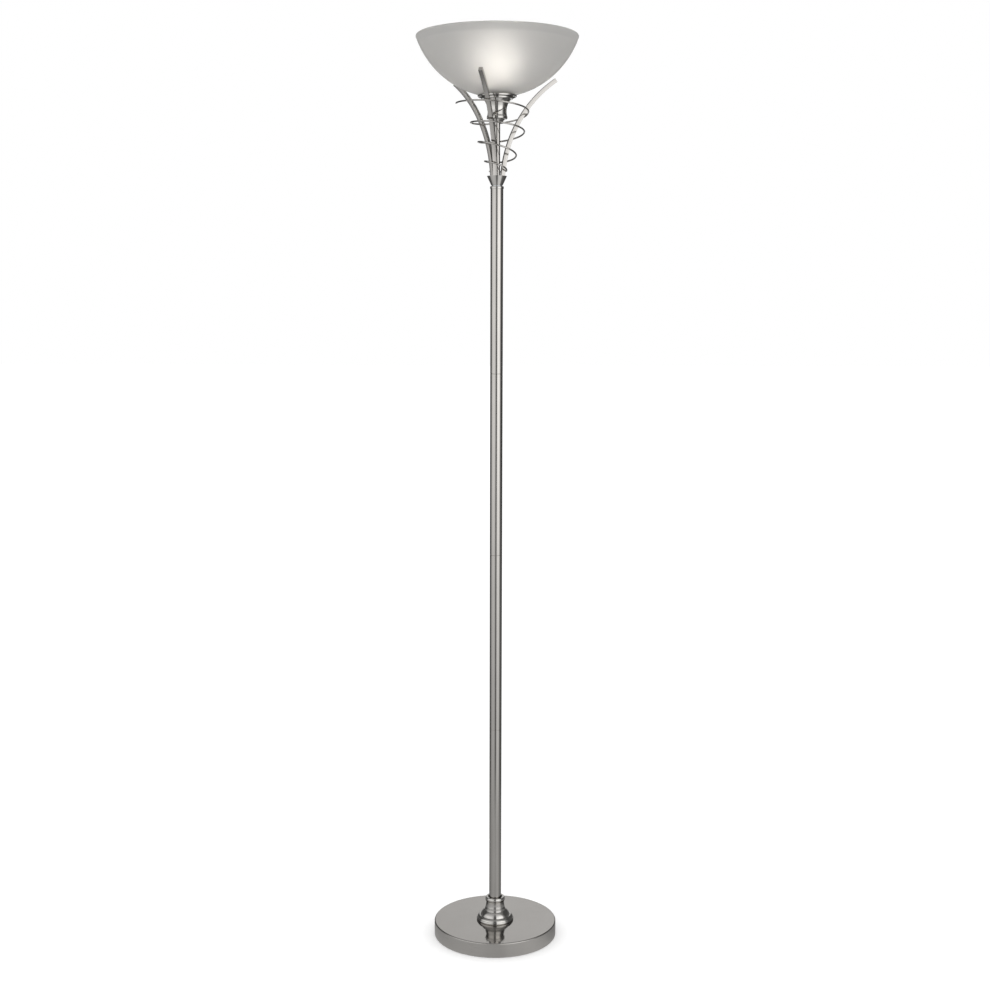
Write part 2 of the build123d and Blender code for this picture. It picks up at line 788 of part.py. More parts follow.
def lampholder_body():
    cavity_r = shell_bore_r + shell_wall + fit_gap
    flange_r = holder_flange_r
    flange_top_z = sphere_z(dish_under, holder_slip_r) - fit_gap
    flange_low_z = flange_top_z - holder_flange
    lead_hole_r = lead_r + slip_gap
    return turned([
        (lead_hole_r, holder_body_z), (holder_cap_r, holder_body_z), (holder_thread_r, flange_low_z),
        (flange_r, flange_low_z), (flange_r, flange_top_z), (holder_thread_r, flange_top_z),
        (holder_thread_r, holder_top_z), (cavity_r + holder_mouth, holder_top_z),
        (cavity_r, holder_top_z - holder_mouth), (cavity_r, holder_web_top_z),
        (lead_hole_r, holder_web_top_z),
    ])


def screw_shell():
    low_z = holder_web_top_z + shell_lift
    return sleeve(shell_bore_r + shell_wall, shell_bore_r, low_z, low_z + shell_length)


def centre_contact():
    return bar(contact_r, holder_web_top_z, holder_web_top_z + contact_height)


def holder_terminals():
    post = bar(terminal_post_r, holder_body_z - terminal_post_length, holder_body_z)
    return Compound([Pos(side * terminal_post_x, 0, 0) * post for side in (-1, 1)])


def washer_z():
    """Height at which the clamp washer's edge meets the bowl's inner face."""
    return sphere_z(-bowl_wall, clamp_washer_r) + slip_gap


def upper_washer():
    return sleeve(clamp_washer_r, holder_slip_r, washer_z(), washer_z() + clamp_washer)


def shade_ring():
    """Ring nut with finger grips, screwed on the lampholder's outer thread."""
    low_z = washer_z() + clamp_washer + fit_gap
    ring = sleeve(ring_r, holder_slip_r, low_z, low_z + ring_height)
    for k in range(ring_grip_count):
        ring -= Rot(0, 0, 360 / ring_grip_count * k) * Pos(ring_r, 0, 0) * bar(
            ring_grip_r, low_z, low_z + ring_height)
    return ring


def bulb_contact():
    return bar(lamp_contact_r, lamp_contact_z, lamp_cap_z)


def bulb_cap():
    """Thin screw cap, open where the globe is cemented in."""
    shoulder_z = lamp_cap_z + lamp_cap_taper
    inner_r = lamp_cap_r - lamp_cap_wall
    return turned([
        (0, lamp_cap_z), (lamp_contact_r, lamp_cap_z), (lamp_cap_r, shoulder_z), (lamp_cap_r, lamp_neck_z),
        (inner_r, lamp_neck_z), (inner_r, shoulder_z), (lamp_contact_r, lamp_cap_z + lamp_cap_wall),
        (0, lamp_cap_z + lamp_cap_wall),
    ])


def globe_solid(inset):
    """Solid within the globe's glass at a depth: a neck that sweeps up and runs into a sphere."""
    sphere_r = lamp_globe_r - inset
    bend_r = lamp_neck_bend_r + inset
    share = sphere_r / (lamp_globe_r + lamp_neck_bend_r)
    neck_r = lamp_neck_r - inset
    join_r = (lamp_neck_r + lamp_neck_bend_r) * share
    join_z = lamp_globe_z - lamp_rise * share
    top_z = lamp_globe_z + sphere_r
    neck_half_chord = hypot(join_r - neck_r, join_z - lamp_neck_z) / 2
    globe_half_chord = hypot(join_r, top_z - join_z) / 2
    neck_bow = bend_r - sqrt(bend_r**2 - neck_half_chord**2)
    globe_bow = sphere_r - sqrt(sphere_r**2 - globe_half_chord**2)
    return turned([
        (0, lamp_neck_z), (neck_r, lamp_neck_z), (join_r, join_z, -neck_bow), (0, top_z, globe_bow),
    ])


def bulb_globe():
    return globe_solid(0) - globe_solid(lamp_glass)


def internal_lead():
    """Lead from the terminal block, along the base and up the pole to the lampholder."""
    start = (0, terminal_y - terminal_size_y / 2 - fit_gap, lead_z)
    corner = (0, 0, lead_z)
    end = (0, 0, holder_body_z - lead_end_gap)
    path = FilletPolyline(start, corner, end, radius=lead_bend_r)
    return sweep(Plane(start, z_dir=(0, -1, 0)) * Circle(lead_r), path)


parts = {
    "felt_pad": felt_pad(),
    "base_plate": base_plate(),
    "plate_screws": plate_screws(),
    "base_weight": base_weight(),
    "base_cover": base_cover(),
    "cord_gland": cord_gland(),
    "terminal_block": terminal_block(),
    "terminal_screws": terminal_screws(),
    "base_rod": base_rod(),
    "base_nut": base_nut(),
    "base_washer": base_washer_ring(),
    "base_collar": base_collar(),
    "foot_insert": foot_insert(),
    "top_insert": top_insert(),
    "pole_bead": pole_bead(),
    "crown_cup": crown_cup(),
    "crown_hub": crown_hub(),
    "spiral_wire": spiral_wire(),
    "centre_nipple": centre_nipple(),
    "stem_sleeve": stem_sleeve(),
    "stem_nut": stem_nut(),
    "holder_cup": holder_cup(),
    "holder_nut": holder_nut(),
    "gallery_ring": gallery_ring(),
    "gallery_dish": gallery_dish(),
    "lower_gasket": lower_gasket(),
    "glass_bowl": glass_bowl(),
    "lampholder_cap": lampholder_cap(),
    "lampholder_body": lampholder_body(),
    "screw_shell": screw_shell(),
    "centre_contact": centre_contact(),
    "holder_terminals": holder_terminals(),
    "upper_washer": upper_washer(),
    "shade_ring": shade_ring(),
    "bulb_contact": bulb_contact(),
    "bulb_cap": bulb_cap(),
    "bulb_globe": bulb_globe(),
    "internal_lead": internal_lead(),
}
for number, (low_z, high_z) in enumerate(tube_ends(), start=1):
    parts[f"pole_tube_{number}"] = pole_tube(low_z, high_z)
for number, z in enumerate(joint_z, start=1):
    parts[f"joint_socket_{number}"] = joint_socket(z)
    parts[f"joint_stud_{number}"] = joint_stud(z)
for name, angle in zip(("arm_right", "arm_left", "arm_front"), arm_angles()):
    parts[name] = arm(angle)

os.makedirs("parts", exist_ok=True)
for name, shape in parts.items():
    export_step(shape, f"parts/{name}.step")
print("overall height:", round(bowl_rim_z, 2), "mm,", len(parts), "pieces")
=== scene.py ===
# %% [markdown]
# This lesson dresses a torchiere floor lamp: a weighted base, a tall pole, three bowed bars with
# a wire wound round them, and a glass bowl. Its CAD model is packed already, and the frame gives
# every solid in metres, with +Z up and the front towards -Y. The solids could be rendered as they
# are, but their edges are knife sharp and their faces plain, so each visible piece is made again.
# It rides on the CAD body that carries it and stands for the solid of the same size, which stays
# in the physics model.

# %% Load the frame
import json
from math import atan, atan2, ceil, cos, hypot, pi, radians, sin, sqrt

import bmesh
import bpy
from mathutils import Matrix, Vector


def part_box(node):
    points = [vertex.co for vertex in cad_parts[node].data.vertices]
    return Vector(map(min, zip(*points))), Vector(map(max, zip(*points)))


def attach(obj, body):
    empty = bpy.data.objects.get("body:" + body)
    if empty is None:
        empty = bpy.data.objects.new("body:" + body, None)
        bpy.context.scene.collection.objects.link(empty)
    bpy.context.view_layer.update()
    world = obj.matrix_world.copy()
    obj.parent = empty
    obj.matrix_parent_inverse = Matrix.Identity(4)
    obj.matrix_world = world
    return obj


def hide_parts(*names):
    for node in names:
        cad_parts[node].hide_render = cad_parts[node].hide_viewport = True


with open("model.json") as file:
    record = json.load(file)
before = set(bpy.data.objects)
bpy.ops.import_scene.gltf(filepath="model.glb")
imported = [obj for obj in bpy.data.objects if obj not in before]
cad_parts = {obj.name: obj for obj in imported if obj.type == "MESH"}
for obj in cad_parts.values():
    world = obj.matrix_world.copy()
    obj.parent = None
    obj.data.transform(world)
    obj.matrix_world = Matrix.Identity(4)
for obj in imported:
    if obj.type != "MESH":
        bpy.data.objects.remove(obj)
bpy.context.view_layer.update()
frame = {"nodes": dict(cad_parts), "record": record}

# %% [markdown]
# The camera comes first, because every comparison with the photograph depends on it. It stands
# about three metres in front of the lamp at chest height and looks down a little. The lamp could
# be moved to fit the picture, but it has to stay in the shared frame, so the lens, the tilt and a
# small shift of the sensor put its foot and rim on the same rows as in the picture.

# %% Camera
def put(name, data):
    """A new object in the scene, at the origin."""
    thing = bpy.data.objects.new(name, data)
    bpy.context.collection.objects.link(thing)
    return thing


camera_pitch, camera_roll = -9.28, -0.15  # degrees
camera_data = bpy.data.cameras.new("front_view")
camera_data.sensor_width = 36.0
camera_data.lens = 54.14
camera_data.shift_x = -0.00165
camera_data.shift_y = 0.0547
camera_data.clip_end = 60.0
camera = put("front_view", camera_data)
camera.location = (0.0, -2.979, 1.3082)
camera.rotation_euler = (radians(90 + camera_pitch), radians(camera_roll), 0)
bpy.context.scene.camera = camera
bpy.context.scene.view_settings.view_transform = "Standard"
print("camera lens:", camera_data.lens, "mm")

# %% [markdown]
# Finishes are node materials. They could be wired by hand in the Shader Editor, but a script can
# be read, repeated and changed. A few helpers add a node, link or set its inputs and return it,
# so that each finish below is a short list of steps. Geometry Nodes use the same helpers later.

# %% Node helpers
def feed(tree, socket, value):
    """Link a socket to another node's output, or set its value."""
    if isinstance(value, bpy.types.NodeSocket):
        tree.links.new(value, socket)
    elif value is not None:
        socket.default_value = value


def fill(tree, node, **inputs):
    """Feed the inputs of a node by name, with _ for each space."""
    for key, value in inputs.items():
        feed(tree, node.inputs[key.replace("_", " ")], value)


def add_node(tree, kind, settings=None, **inputs):
    """Add a node, with its settings and its inputs given by name."""
    node = tree.nodes.new(kind)
    for key, value in (settings or {}).items():
        setattr(node, key, value)
    fill(tree, node, **inputs)
    return node


def calc(tree, operation, *values):
    """One step of arithmetic in a node tree."""
    node = tree.nodes.new("ShaderNodeMath")
    node.operation = operation
    for socket, value in zip(node.inputs, values):
        feed(tree, socket, value)
    return node.outputs[0]


def spread(tree, value, low, high, from_low=0.0, from_high=1.0):
    """Map a factor to a range."""
    node = tree.nodes.new("ShaderNodeMapRange")
    for socket, given in zip(node.inputs, (value, from_low, from_high, low, high)):
        feed(tree, socket, given)
    return node.outputs["Result"]


print("node helpers ready")

# %% [markdown]
# Every finish starts with one Principled shader and the coordinates of its patterns. Object
# coordinates are the lamp's own metres, because every piece lies at the origin, so a grain has
# the same size on all pieces and no UV map is needed. Noise makes the small differences of a real
# surface. Most of its values lie in the middle, so that part is what gets mapped.

# %% Start of a finish
NOISE_LOW, NOISE_HIGH = 0.3, 0.7


def new_finish(name):
    """A material with one Principled shader, and the coordinates of its patterns."""
    material = bpy.data.materials.new(name)
    material.use_nodes = True
    tree = material.node_tree
    place = tree.nodes.new("ShaderNodeTexCoord").outputs["Object"]
    return material, tree, tree.nodes["Principled BSDF"], place


def noise(tree, place, scale, detail, roughness=0.5):
    """A noise with so many grains in a metre."""
    return add_node(tree, "ShaderNodeTexNoise", Vector=place, Scale=scale, Detail=detail,
                    Roughness=roughness).outputs["Fac"]


def over_noise(tree, value, low, high):
    """Map the usual part of a noise to a range."""
    return spread(tree, value, low, high, NOISE_LOW, NOISE_HIGH)


print("noise is mapped from", NOISE_LOW, "to", NOISE_HIGH)

# %% [markdown]
# Worked surfaces differ in the direction of their marks. Drawn tube has fine scratches along its
# length, spun and turned metal has rings round the axis, and a moulding or casting has an even
# grain. A picture could hold such marks, but it would have to be unwrapped and would repeat. Here
# they are a noise in coordinates that are squeezed along the marks, which draws its grains out
# into lines.

# %% Directions of working marks
ALONG_SQUEEZE = 0.008
GRAINS_IN_RADIAN = 2.0


def mark_lines(tree, place, marks, grain):
    """Coordinates that draw a noise out into marks along Z or round the axis."""
    if marks == "along":
        squeeze = (1.0, 1.0, ALONG_SQUEEZE)
        return add_node(tree, "ShaderNodeMapping", Vector=place, Scale=squeeze).outputs[0]
    if marks == "round":
        x, y, z = add_node(tree, "ShaderNodeSeparateXYZ", Vector=place).outputs
        squares = calc(tree, "ADD", calc(tree, "POWER", x, 2.0), calc(tree, "POWER", y, 2.0))
        turn = calc(tree, "MULTIPLY", calc(tree, "ARCTAN2", y, x), GRAINS_IN_RADIAN / grain)
        radius = calc(tree, "SQRT", squares)
        return add_node(tree, "ShaderNodeCombineXYZ", X=radius, Y=z, Z=turn).outputs[0]
    return place


print("marks run along, round or evenly")

# %% [markdown]
# One recipe covers all these surfaces. The marks move the gloss and make a slight bump, and a
# broad noise lets the colour drift a little. Rings on a finely turned piece are too close
# together to draw one by one, but they still spread a highlight. Anisotropic gloss does that:
# highlights blur along the axis and stay sharp round it.

# %% Recipe for worked surfaces
BROAD_SCALE = 14.0
ACROSS_RINGS = 0.25  # a quarter turn from the direction of the rings


def worked_finish(name, light, dark, gloss, grain, marks="even", bump=0.05, depth=0.0002,
                  **sockets):
    """A surface with working marks.

    light and dark are the two colours it drifts between, gloss is its range of roughness and
    grain is the number of marks in a metre. Marks run along Z, round the axis, or evenly.
    """
    material, tree, shader, place = new_finish(name)
    fine = noise(tree, mark_lines(tree, place, marks, grain), grain, 4.0, 0.65)
    broad = noise(tree, place, BROAD_SCALE, 3.0)
    drift = calc(tree, "ADD", calc(tree, "MULTIPLY", fine, 0.5), calc(tree, "MULTIPLY", broad, 0.5))
    blend = add_node(tree, "ShaderNodeMix", {"data_type": "RGBA"})
    feed(tree, blend.inputs[0], over_noise(tree, drift, 0.0, 1.0))
    feed(tree, blend.inputs[6], (*dark, 1.0))
    feed(tree, blend.inputs[7], (*light, 1.0))
    fill(tree, shader, Base_Color=blend.outputs[2], Roughness=over_noise(tree, drift, *gloss))
    if bump:
        relief = add_node(tree, "ShaderNodeBump", Strength=bump, Distance=depth, Height=fine)
        fill(tree, shader, Normal=relief.outputs["Normal"])
    if "Anisotropic" in sockets:
        tangent = add_node(tree, "ShaderNodeTangent", {"direction_type": "RADIAL", "axis": "Z"})
        fill(tree, shader, Tangent=tangent.outputs[0], Anisotropic_Rotation=ACROSS_RINGS)
    fill(tree, shader, **sockets)
    return material


print("recipe ready")

# %% [markdown]
# The visible metal is nickel plate. It could be one material, but each piece was worked in its
# own way before it was plated: drawn tube, the spun top of the base, its brushed side, and
# polished or turned fittings. Three tones with their own gloss and marks show that. Zinc-plated
# steel, raw iron and brass are for pieces inside the lamp.

# %% Metal finishes
satin = (0.47, 0.455, 0.435), (0.42, 0.405, 0.385)
mirror = (0.43, 0.415, 0.395), (0.38, 0.365, 0.345)
bright = (0.53, 0.52, 0.50), (0.48, 0.465, 0.445)
finishes = {
    "tube_nickel": worked_finish(
        "satin_nickel_drawn", *satin, (0.09, 0.15), 900.0, "along", bump=0.0, Metallic=1.0),
    "spun_nickel": worked_finish(
        "satin_nickel_spun", *mirror, (0.07, 0.12), 1300.0, "round", bump=0.02, depth=0.00003,
        Metallic=1.0),
    "brushed_nickel": worked_finish(
        "satin_nickel_brushed", *satin, (0.26, 0.36), 1500.0, "round", bump=0.05, depth=0.00005,
        Metallic=1.0),
    "polished_nickel": worked_finish(
        "polished_nickel", *bright, (0.04, 0.08), 900.0, "round", bump=0.02, depth=0.00002,
        Metallic=1.0),
    "turned_nickel": worked_finish(
        "turned_nickel", *bright, (0.13, 0.17), 1100.0, "round", bump=0.02, depth=0.00002,
        Metallic=1.0, Anisotropic=0.95),
    "zinc_steel": worked_finish(
        "zinc_plated_steel", (0.56, 0.57, 0.57), (0.46, 0.47, 0.48), (0.30, 0.45), 400.0,
        Metallic=1.0),
    "cast_iron": worked_finish(
        "raw_casting", (0.17, 0.17, 0.175), (0.10, 0.10, 0.105), (0.6, 0.8), 700.0, bump=0.5,
        depth=0.0008, Metallic=0.6),
    "brass": worked_finish(
        "bright_brass", (0.80, 0.62, 0.32), (0.68, 0.51, 0.25), (0.16, 0.30), 600.0, "round",
        Metallic=1.0),
}
print("metal finishes:", ", ".join(finishes))

# %% [markdown]
# Felt, mouldings, silicone and the jacket of the lead have an even grain, so the same recipe
# makes them with other values. Felt could be grown from loose fibres, but the pad shows only as a
# thin dark line. A deep bump and a sheen, which stands for the light that fibres catch, are
# enough.

# %% Other finishes
finishes.update({
    "felt": worked_finish(
        "pressed_felt", (0.12, 0.125, 0.12), (0.06, 0.065, 0.06), (0.9, 1.0), 1600.0, bump=0.8,
        depth=0.001, Sheen_Weight=0.5),
    "dark_plastic": worked_finish(
        "dark_moulding", (0.05, 0.05, 0.052), (0.03, 0.03, 0.032), (0.40, 0.55), 1200.0, bump=0.15),
    "white_plastic": worked_finish(
        "pale_moulding", (0.82, 0.81, 0.78), (0.76, 0.75, 0.72), (0.25, 0.38), 500.0, bump=0.04),
    "silicone": worked_finish(
        "clear_silicone", (0.80, 0.80, 0.78), (0.72, 0.72, 0.70), (0.45, 0.6), 300.0, bump=0.05),
    "lead_jacket": worked_finish(
        "lead_jacket", (0.78, 0.77, 0.73), (0.70, 0.69, 0.65), (0.45, 0.6), 500.0, bump=0.06),
})
print("finishes so far:", len(finishes))

# %% [markdown]
# The bowl is frosted glass. Frosting scatters the light that passes through it, so the glowing lamp
# inside shows as a soft warm patch. A volume inside the glass could do this, but it renders slowly,
# and a rough transmitting surface gives the same look. A band below the rim is a little darker and
# lets less light through. It follows the height alone, so it needs no mesh of its own.

# %% Frosted glass
band_low, band_high, band_shade = 1.8035, 1.8075, 0.04
passes, band_passes = 0.6, 0.42  # shares of the light that go through
glass, tree, shader, place = new_finish("frosted_glass")
height = add_node(tree, "ShaderNodeSeparateXYZ", Vector=place).outputs[2]
speckle, cloud = noise(tree, place, 900.0, 3.0), noise(tree, place, 11.0, 2.0)
band = spread(tree, height, 0.0, 1.0, band_low, band_high)
shade = calc(tree, "SUBTRACT", 1.0, calc(tree, "MULTIPLY", band, band_shade))
shade = calc(tree, "MULTIPLY", shade, over_noise(tree, cloud, 0.985, 1.015))
colour = add_node(tree, "ShaderNodeVectorMath", {"operation": "SCALE"}, Scale=shade)
feed(tree, colour.inputs[0], (0.55, 0.543, 0.53))
relief = add_node(tree, "ShaderNodeBump", Strength=0.08, Distance=0.0003, Height=speckle)
fill(tree, shader, Base_Color=colour.outputs[0], Roughness=over_noise(tree, speckle, 0.78, 0.86),
     Transmission_Weight=spread(tree, band, passes, band_passes), IOR=1.45,
     Normal=relief.outputs["Normal"])
finishes["frosted_glass"] = glass
print("edge of the glass band from", band_low, "to", band_high, "m")

# %% [markdown]
# The lamp's globe is opal glass that glows warm white. A point light inside it could give the
# light, but opal glass glows all over, so here the surface itself shines: a plain emission, a
# little weaker at the top of the globe than at its neck.

# %% Glowing opal globe
neck_glow, top_glow, neck_glow_z, top_glow_z = 12.4, 11.6, 1.735, 1.775
opal, tree, shader, place = new_finish("opal_glass_lit")
height = add_node(tree, "ShaderNodeSeparateXYZ", Vector=place).outputs[2]
glow = spread(tree, height, neck_glow, top_glow, neck_glow_z, top_glow_z)
gloss = over_noise(tree, noise(tree, place, 60.0, 2.0), 0.30, 0.42)
fill(tree, shader, Base_Color=(0.95, 0.93, 0.88, 1.0), Roughness=gloss,
     Emission_Color=(1.0, 0.96, 0.905, 1.0), Emission_Strength=glow)
finishes["lamp_glass"] = opal
print("globe glows with strength", neck_glow, "to", top_glow)

# %% [markdown]
# Turned and spun pieces are outlines swept round the axis, as on a lathe. A Screw modifier could
# sweep a drawn curve, but an outline in code can take its sizes from the CAD solids. It is a list
# of (radius, height) points in millimetres, and a third number bows the edge that ends there, so
# a round stretch needs no row of points.

# %% Outline of a turned piece
MM = 0.001
ARC_STEP = radians(4)
EASE = 0.25
EASED_BEND = radians(20)  # a corner that turns less than this is part of a curve
SUPPORT = 1.8  # a support point lies this many eases from its corner
ON_AXIS = 0.00025  # a smaller radius is a point on the axis


def arc_run(start, end, bow, arc_step):
    """Points after start, up to end, along an edge that bows to the right of its way."""
    if not bow:
        return [end]
    dr, dz = end[0] - start[0], end[1] - start[1]
    chord = hypot(dr, dz)
    radius = (chord**2 / 4 + bow**2) / (2 * abs(bow))
    turn = 4 * atan(2 * abs(bow) / chord)
    side = 1 if bow > 0 else -1
    inset = side * (radius - abs(bow)) / chord
    centre_r = (start[0] + end[0]) / 2 - inset * dz
    centre_z = (start[1] + end[1]) / 2 + inset * dr
    first = atan2(start[1] - centre_z, start[0] - centre_r)
    count = max(2, ceil(turn / arc_step))
    angles = [first + side * turn * k / count for k in range(1, count)]
    return [(centre_r + radius * cos(a), centre_z + radius * sin(a)) for a in angles] + [end]


def stepped(outline, arc_step):
    """The closed outline as one run of points."""
    points = []
    for start, end in zip(outline, outline[1:] + outline[:1]):
        bow = end[2] if len(end) > 2 else 0.0
        points += arc_run(start[:2], end[:2], bow, arc_step)
    return points


print("longest step along an arc:", round(ARC_STEP, 4), "radians")

# %% [markdown]
# Real edges are never knife sharp: they catch a thin line of light. A Bevel modifier could round
# them, but on a finished mesh it rounds coarse curves as well. It is safer to ease the corners of
# the outline, with a short quadratic curve between two points on the edges and the old corner as
# its handle. A support point on both sides keeps the shading of flat faces flat.

# %% Eased corners
def towards(corner, other, distance):
    """The point at a distance from a corner, on the way to another point."""
    run = hypot(other[0] - corner[0], other[1] - corner[1])
    return tuple(c + (o - c) / run * distance for c, o in zip(corner, other))


def eased(points, ease):
    """The same run with its sharp corners rounded."""
    result = []
    for k, corner in enumerate(points):
        before, after = points[k - 1], points[(k + 1) % len(points)]
        back = (before[0] - corner[0], before[1] - corner[1])
        on = (after[0] - corner[0], after[1] - corner[1])
        cross, dot = back[0] * on[1] - back[1] * on[0], back[0] * on[0] + back[1] * on[1]
        bend = pi - abs(atan2(cross, dot))
        if corner[0] < ON_AXIS or bend < EASED_BEND:
            result.append(corner)
            continue
        cut = min(ease, hypot(*back) / 4, hypot(*on) / 4)
        first, last = towards(corner, before, cut), towards(corner, after, cut)
        result += [towards(corner, before, SUPPORT * cut), first]
        for t in (1 / 3, 2 / 3):
            a, b, c = (1 - t) ** 2, 2 * t * (1 - t), t**2
            result.append(tuple(a * p + b * q + c * r for p, q, r in zip(first, corner, last)))
        result += [last, towards(corner, after, SUPPORT * cut)]
    return result


print("corners are eased by", EASE, "mm")

# %% [markdown]
# The lathe puts a ring of points at each point of the outline and joins each ring to the next. A
# point on the axis needs no ring. A rule can move single points, which cuts threads and finger
# grips. Booleans could cut those too, but they leave long thin faces that shade badly.

# %% Lathe
SHARP = radians(42)


def finished_mesh(name, mesh, finish):
    """An object at the origin, with outward faces, smooth shading and its finish."""
    work = bmesh.new()
    work.from_mesh(mesh)
    bmesh.ops.remove_doubles(work, verts=work.verts, dist=1e-7)
    bmesh.ops.recalc_face_normals(work, faces=work.faces)
    work.to_mesh(mesh)
    work.free()
    mesh.shade_smooth()
    mesh.set_sharp_from_angle(angle=SHARP)
    if not mesh.materials:
        mesh.materials.append(finishes[finish])
    return put(name, mesh)


def turned(name, outline, finish, around=128, ease=EASE, arc_step=ARC_STEP, reshape=None):
    """A piece made on the lathe. reshape gives a point's radius from its place on the piece."""
    verts, faces, rings = [], [], []
    for radius, height in eased(stepped(outline, arc_step), ease):
        ring = []
        for k in range(1 if radius < ON_AXIS else around):
            angle = 2 * pi * k / around
            far = reshape(radius, height, angle) if reshape else radius
            ring.append(len(verts))
            verts.append((far * cos(angle) * MM, far * sin(angle) * MM, height * MM))
        rings.append(ring)
    for low, high in zip(rings, rings[1:] + rings[:1]):
        for k in range(around):
            n = (k + 1) % around
            corners = [low[k % len(low)], low[n % len(low)]]
            corners += [high[n % len(high)], high[k % len(high)]]
            corners = list(dict.fromkeys(corners))
            if len(corners) > 2:
                faces.append(corners)
    mesh = bpy.data.meshes.new(name)
    mesh.from_pydata(verts, [], faces)
    return finished_mesh(name, mesh, finish)


print("lathe ready")

# %% [markdown]
# A piece is then seated in the lamp. It rides on a body and moves with that body's joint, and
# stands for one or more CAD solids. Heights and radii could be written here once more, but they are
# read from those solids, so a piece keeps fitting when the CAD model changes.

# %% Seat in the lamp
STAND = "lamp_stand"


def seat(piece, body, slot, *nodes):
    """Ride on a body and stand for CAD nodes; slot is not used."""
    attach(piece, body)
    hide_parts(*nodes)
    print(piece.name, "has", len(piece.data.polygons), "faces")
    return piece


def fit(name, outline, finish, node, slot=None, body=STAND, **lathe):
    """Turn a piece and seat it. Its slot has its finish's name, unless another is given."""
    return seat(turned(name, outline, finish, **lathe), body, slot or finish, node)


def plain_ring(in_r, out_r, low, high):
    """Outline of a ring with a plain section."""
    return [(in_r, low), (out_r, low), (out_r, high), (in_r, high)]


def heights(node):
    """Lowest and highest millimetre of a CAD node."""
    low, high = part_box(node)
    return low.z / MM, high.z / MM


def reach(node):
    """Outer radius of a CAD node round the axis, in millimetres."""
    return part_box(node)[1].x / MM


print("base cover reaches", round(reach("base_cover"), 2), "mm from the axis")

# %% [markdown]
# The base is a heavy disc. What shows is a thin spun cover with a crisp, slightly rolled edge and
# straight sides. A cylinder with a bevel would look much the same from above, but a shell with a
# real wall also looks right from below and at the flex hole, so the lathe makes it.

# %% Base cover
base_low, base_top = heights("base_cover")
base_r = reach("base_cover")
cover_wall, edge_r, rod_hole_r = 1.2, 2.5, 5.2
cover_in_r, cover_in_top = base_r - cover_wall, base_top - cover_wall
edge_z = base_top - edge_r


def quarter(radius):
    """How far a quarter round stands off its chord."""
    return radius * (1 - sqrt(0.5))


cover = turned("spun_base_cover", [
    (rod_hole_r, cover_in_top), (base_r - edge_r, cover_in_top),
    (cover_in_r, edge_z, -quarter(edge_r - cover_wall)), (cover_in_r, base_low),
    (base_r, base_low), (base_r, edge_z), (base_r - edge_r, base_top, quarter(edge_r)),
    (rod_hole_r, base_top),
], "spun_nickel", around=224)
print("cover is", round(base_top - base_low, 2), "mm high")

# %% [markdown]
# The flex leaves through a bushing in the cover's back. Its hole lies across the axis, so the
# lathe can't cut it, and a Boolean drills it, which keeps the bushing's bore open to the eye. The
# top is spun almost to a mirror, while the side and the rolled edge are brushed duller. They
# could be a piece of their own, but one mesh with two materials has no seam.

# %% Flex hole and brushed side
def real_mesh(piece):
    """The mesh of a piece with its modifiers applied."""
    bpy.context.view_layer.update()
    depsgraph = bpy.context.evaluated_depsgraph_get()
    return bpy.data.meshes.new_from_object(piece.evaluated_get(depsgraph))


drill_r, drill_length, flattest_side = 5.6, 30.0, 0.9
gland_low, gland_high = heights("cord_gland")
bpy.ops.mesh.primitive_cylinder_add(
    vertices=64, radius=drill_r * MM, depth=drill_length * MM,
    location=(0, base_r * MM, (gland_low + gland_high) / 2 * MM), rotation=(radians(90), 0, 0))
drill = bpy.context.object
cut = cover.modifiers.new("flex_hole", "BOOLEAN")
cut.object = drill
cut.solver = "EXACT"
drilled = real_mesh(cover)
cover.modifiers.clear()
cover.data = drilled
bpy.data.objects.remove(drill)
drilled.materials.append(finishes["brushed_nickel"])
for face in drilled.polygons:
    if abs(face.normal.z) < flattest_side:
        face.material_index = 1
seat(cover, STAND, "satin_nickel", "base_cover")

# %% [markdown]
# A felt pad under the base keeps it from marking the floor. It is a soft sheet with a rounded cut
# edge. A plain disc would look stamped from metal, so the lathe's rule lets the cut wander by a
# tenth of a millimetre.

# %% Felt pad
felt_r, felt_hole_r, felt_ease, cut_wander = reach("felt_pad"), 12.0, 0.6, 0.12


def felt_edge(radius, height, angle):
    """The cut edge of the felt wanders a little."""
    if radius > felt_r - 1:
        return radius + cut_wander * sin(23 * angle) * sin(7 * angle + 1.0)
    return radius


fit("felt_foot", plain_ring(felt_hole_r, felt_r, *heights("felt_pad")), "felt", "felt_pad",
    around=256, ease=felt_ease, reshape=felt_edge)

# %% [markdown]
# The bell collar hides the joint of pole and base. It is turned and polished: a foot with two
# beads, an S-shaped dome, a waisted neck and a rounded lip that the pole drops into. It could be
# stacked from simple rings, but one outline leaves no seams. Its outside goes up from the foot
# and its inside comes down again, past the socket and the web under it.

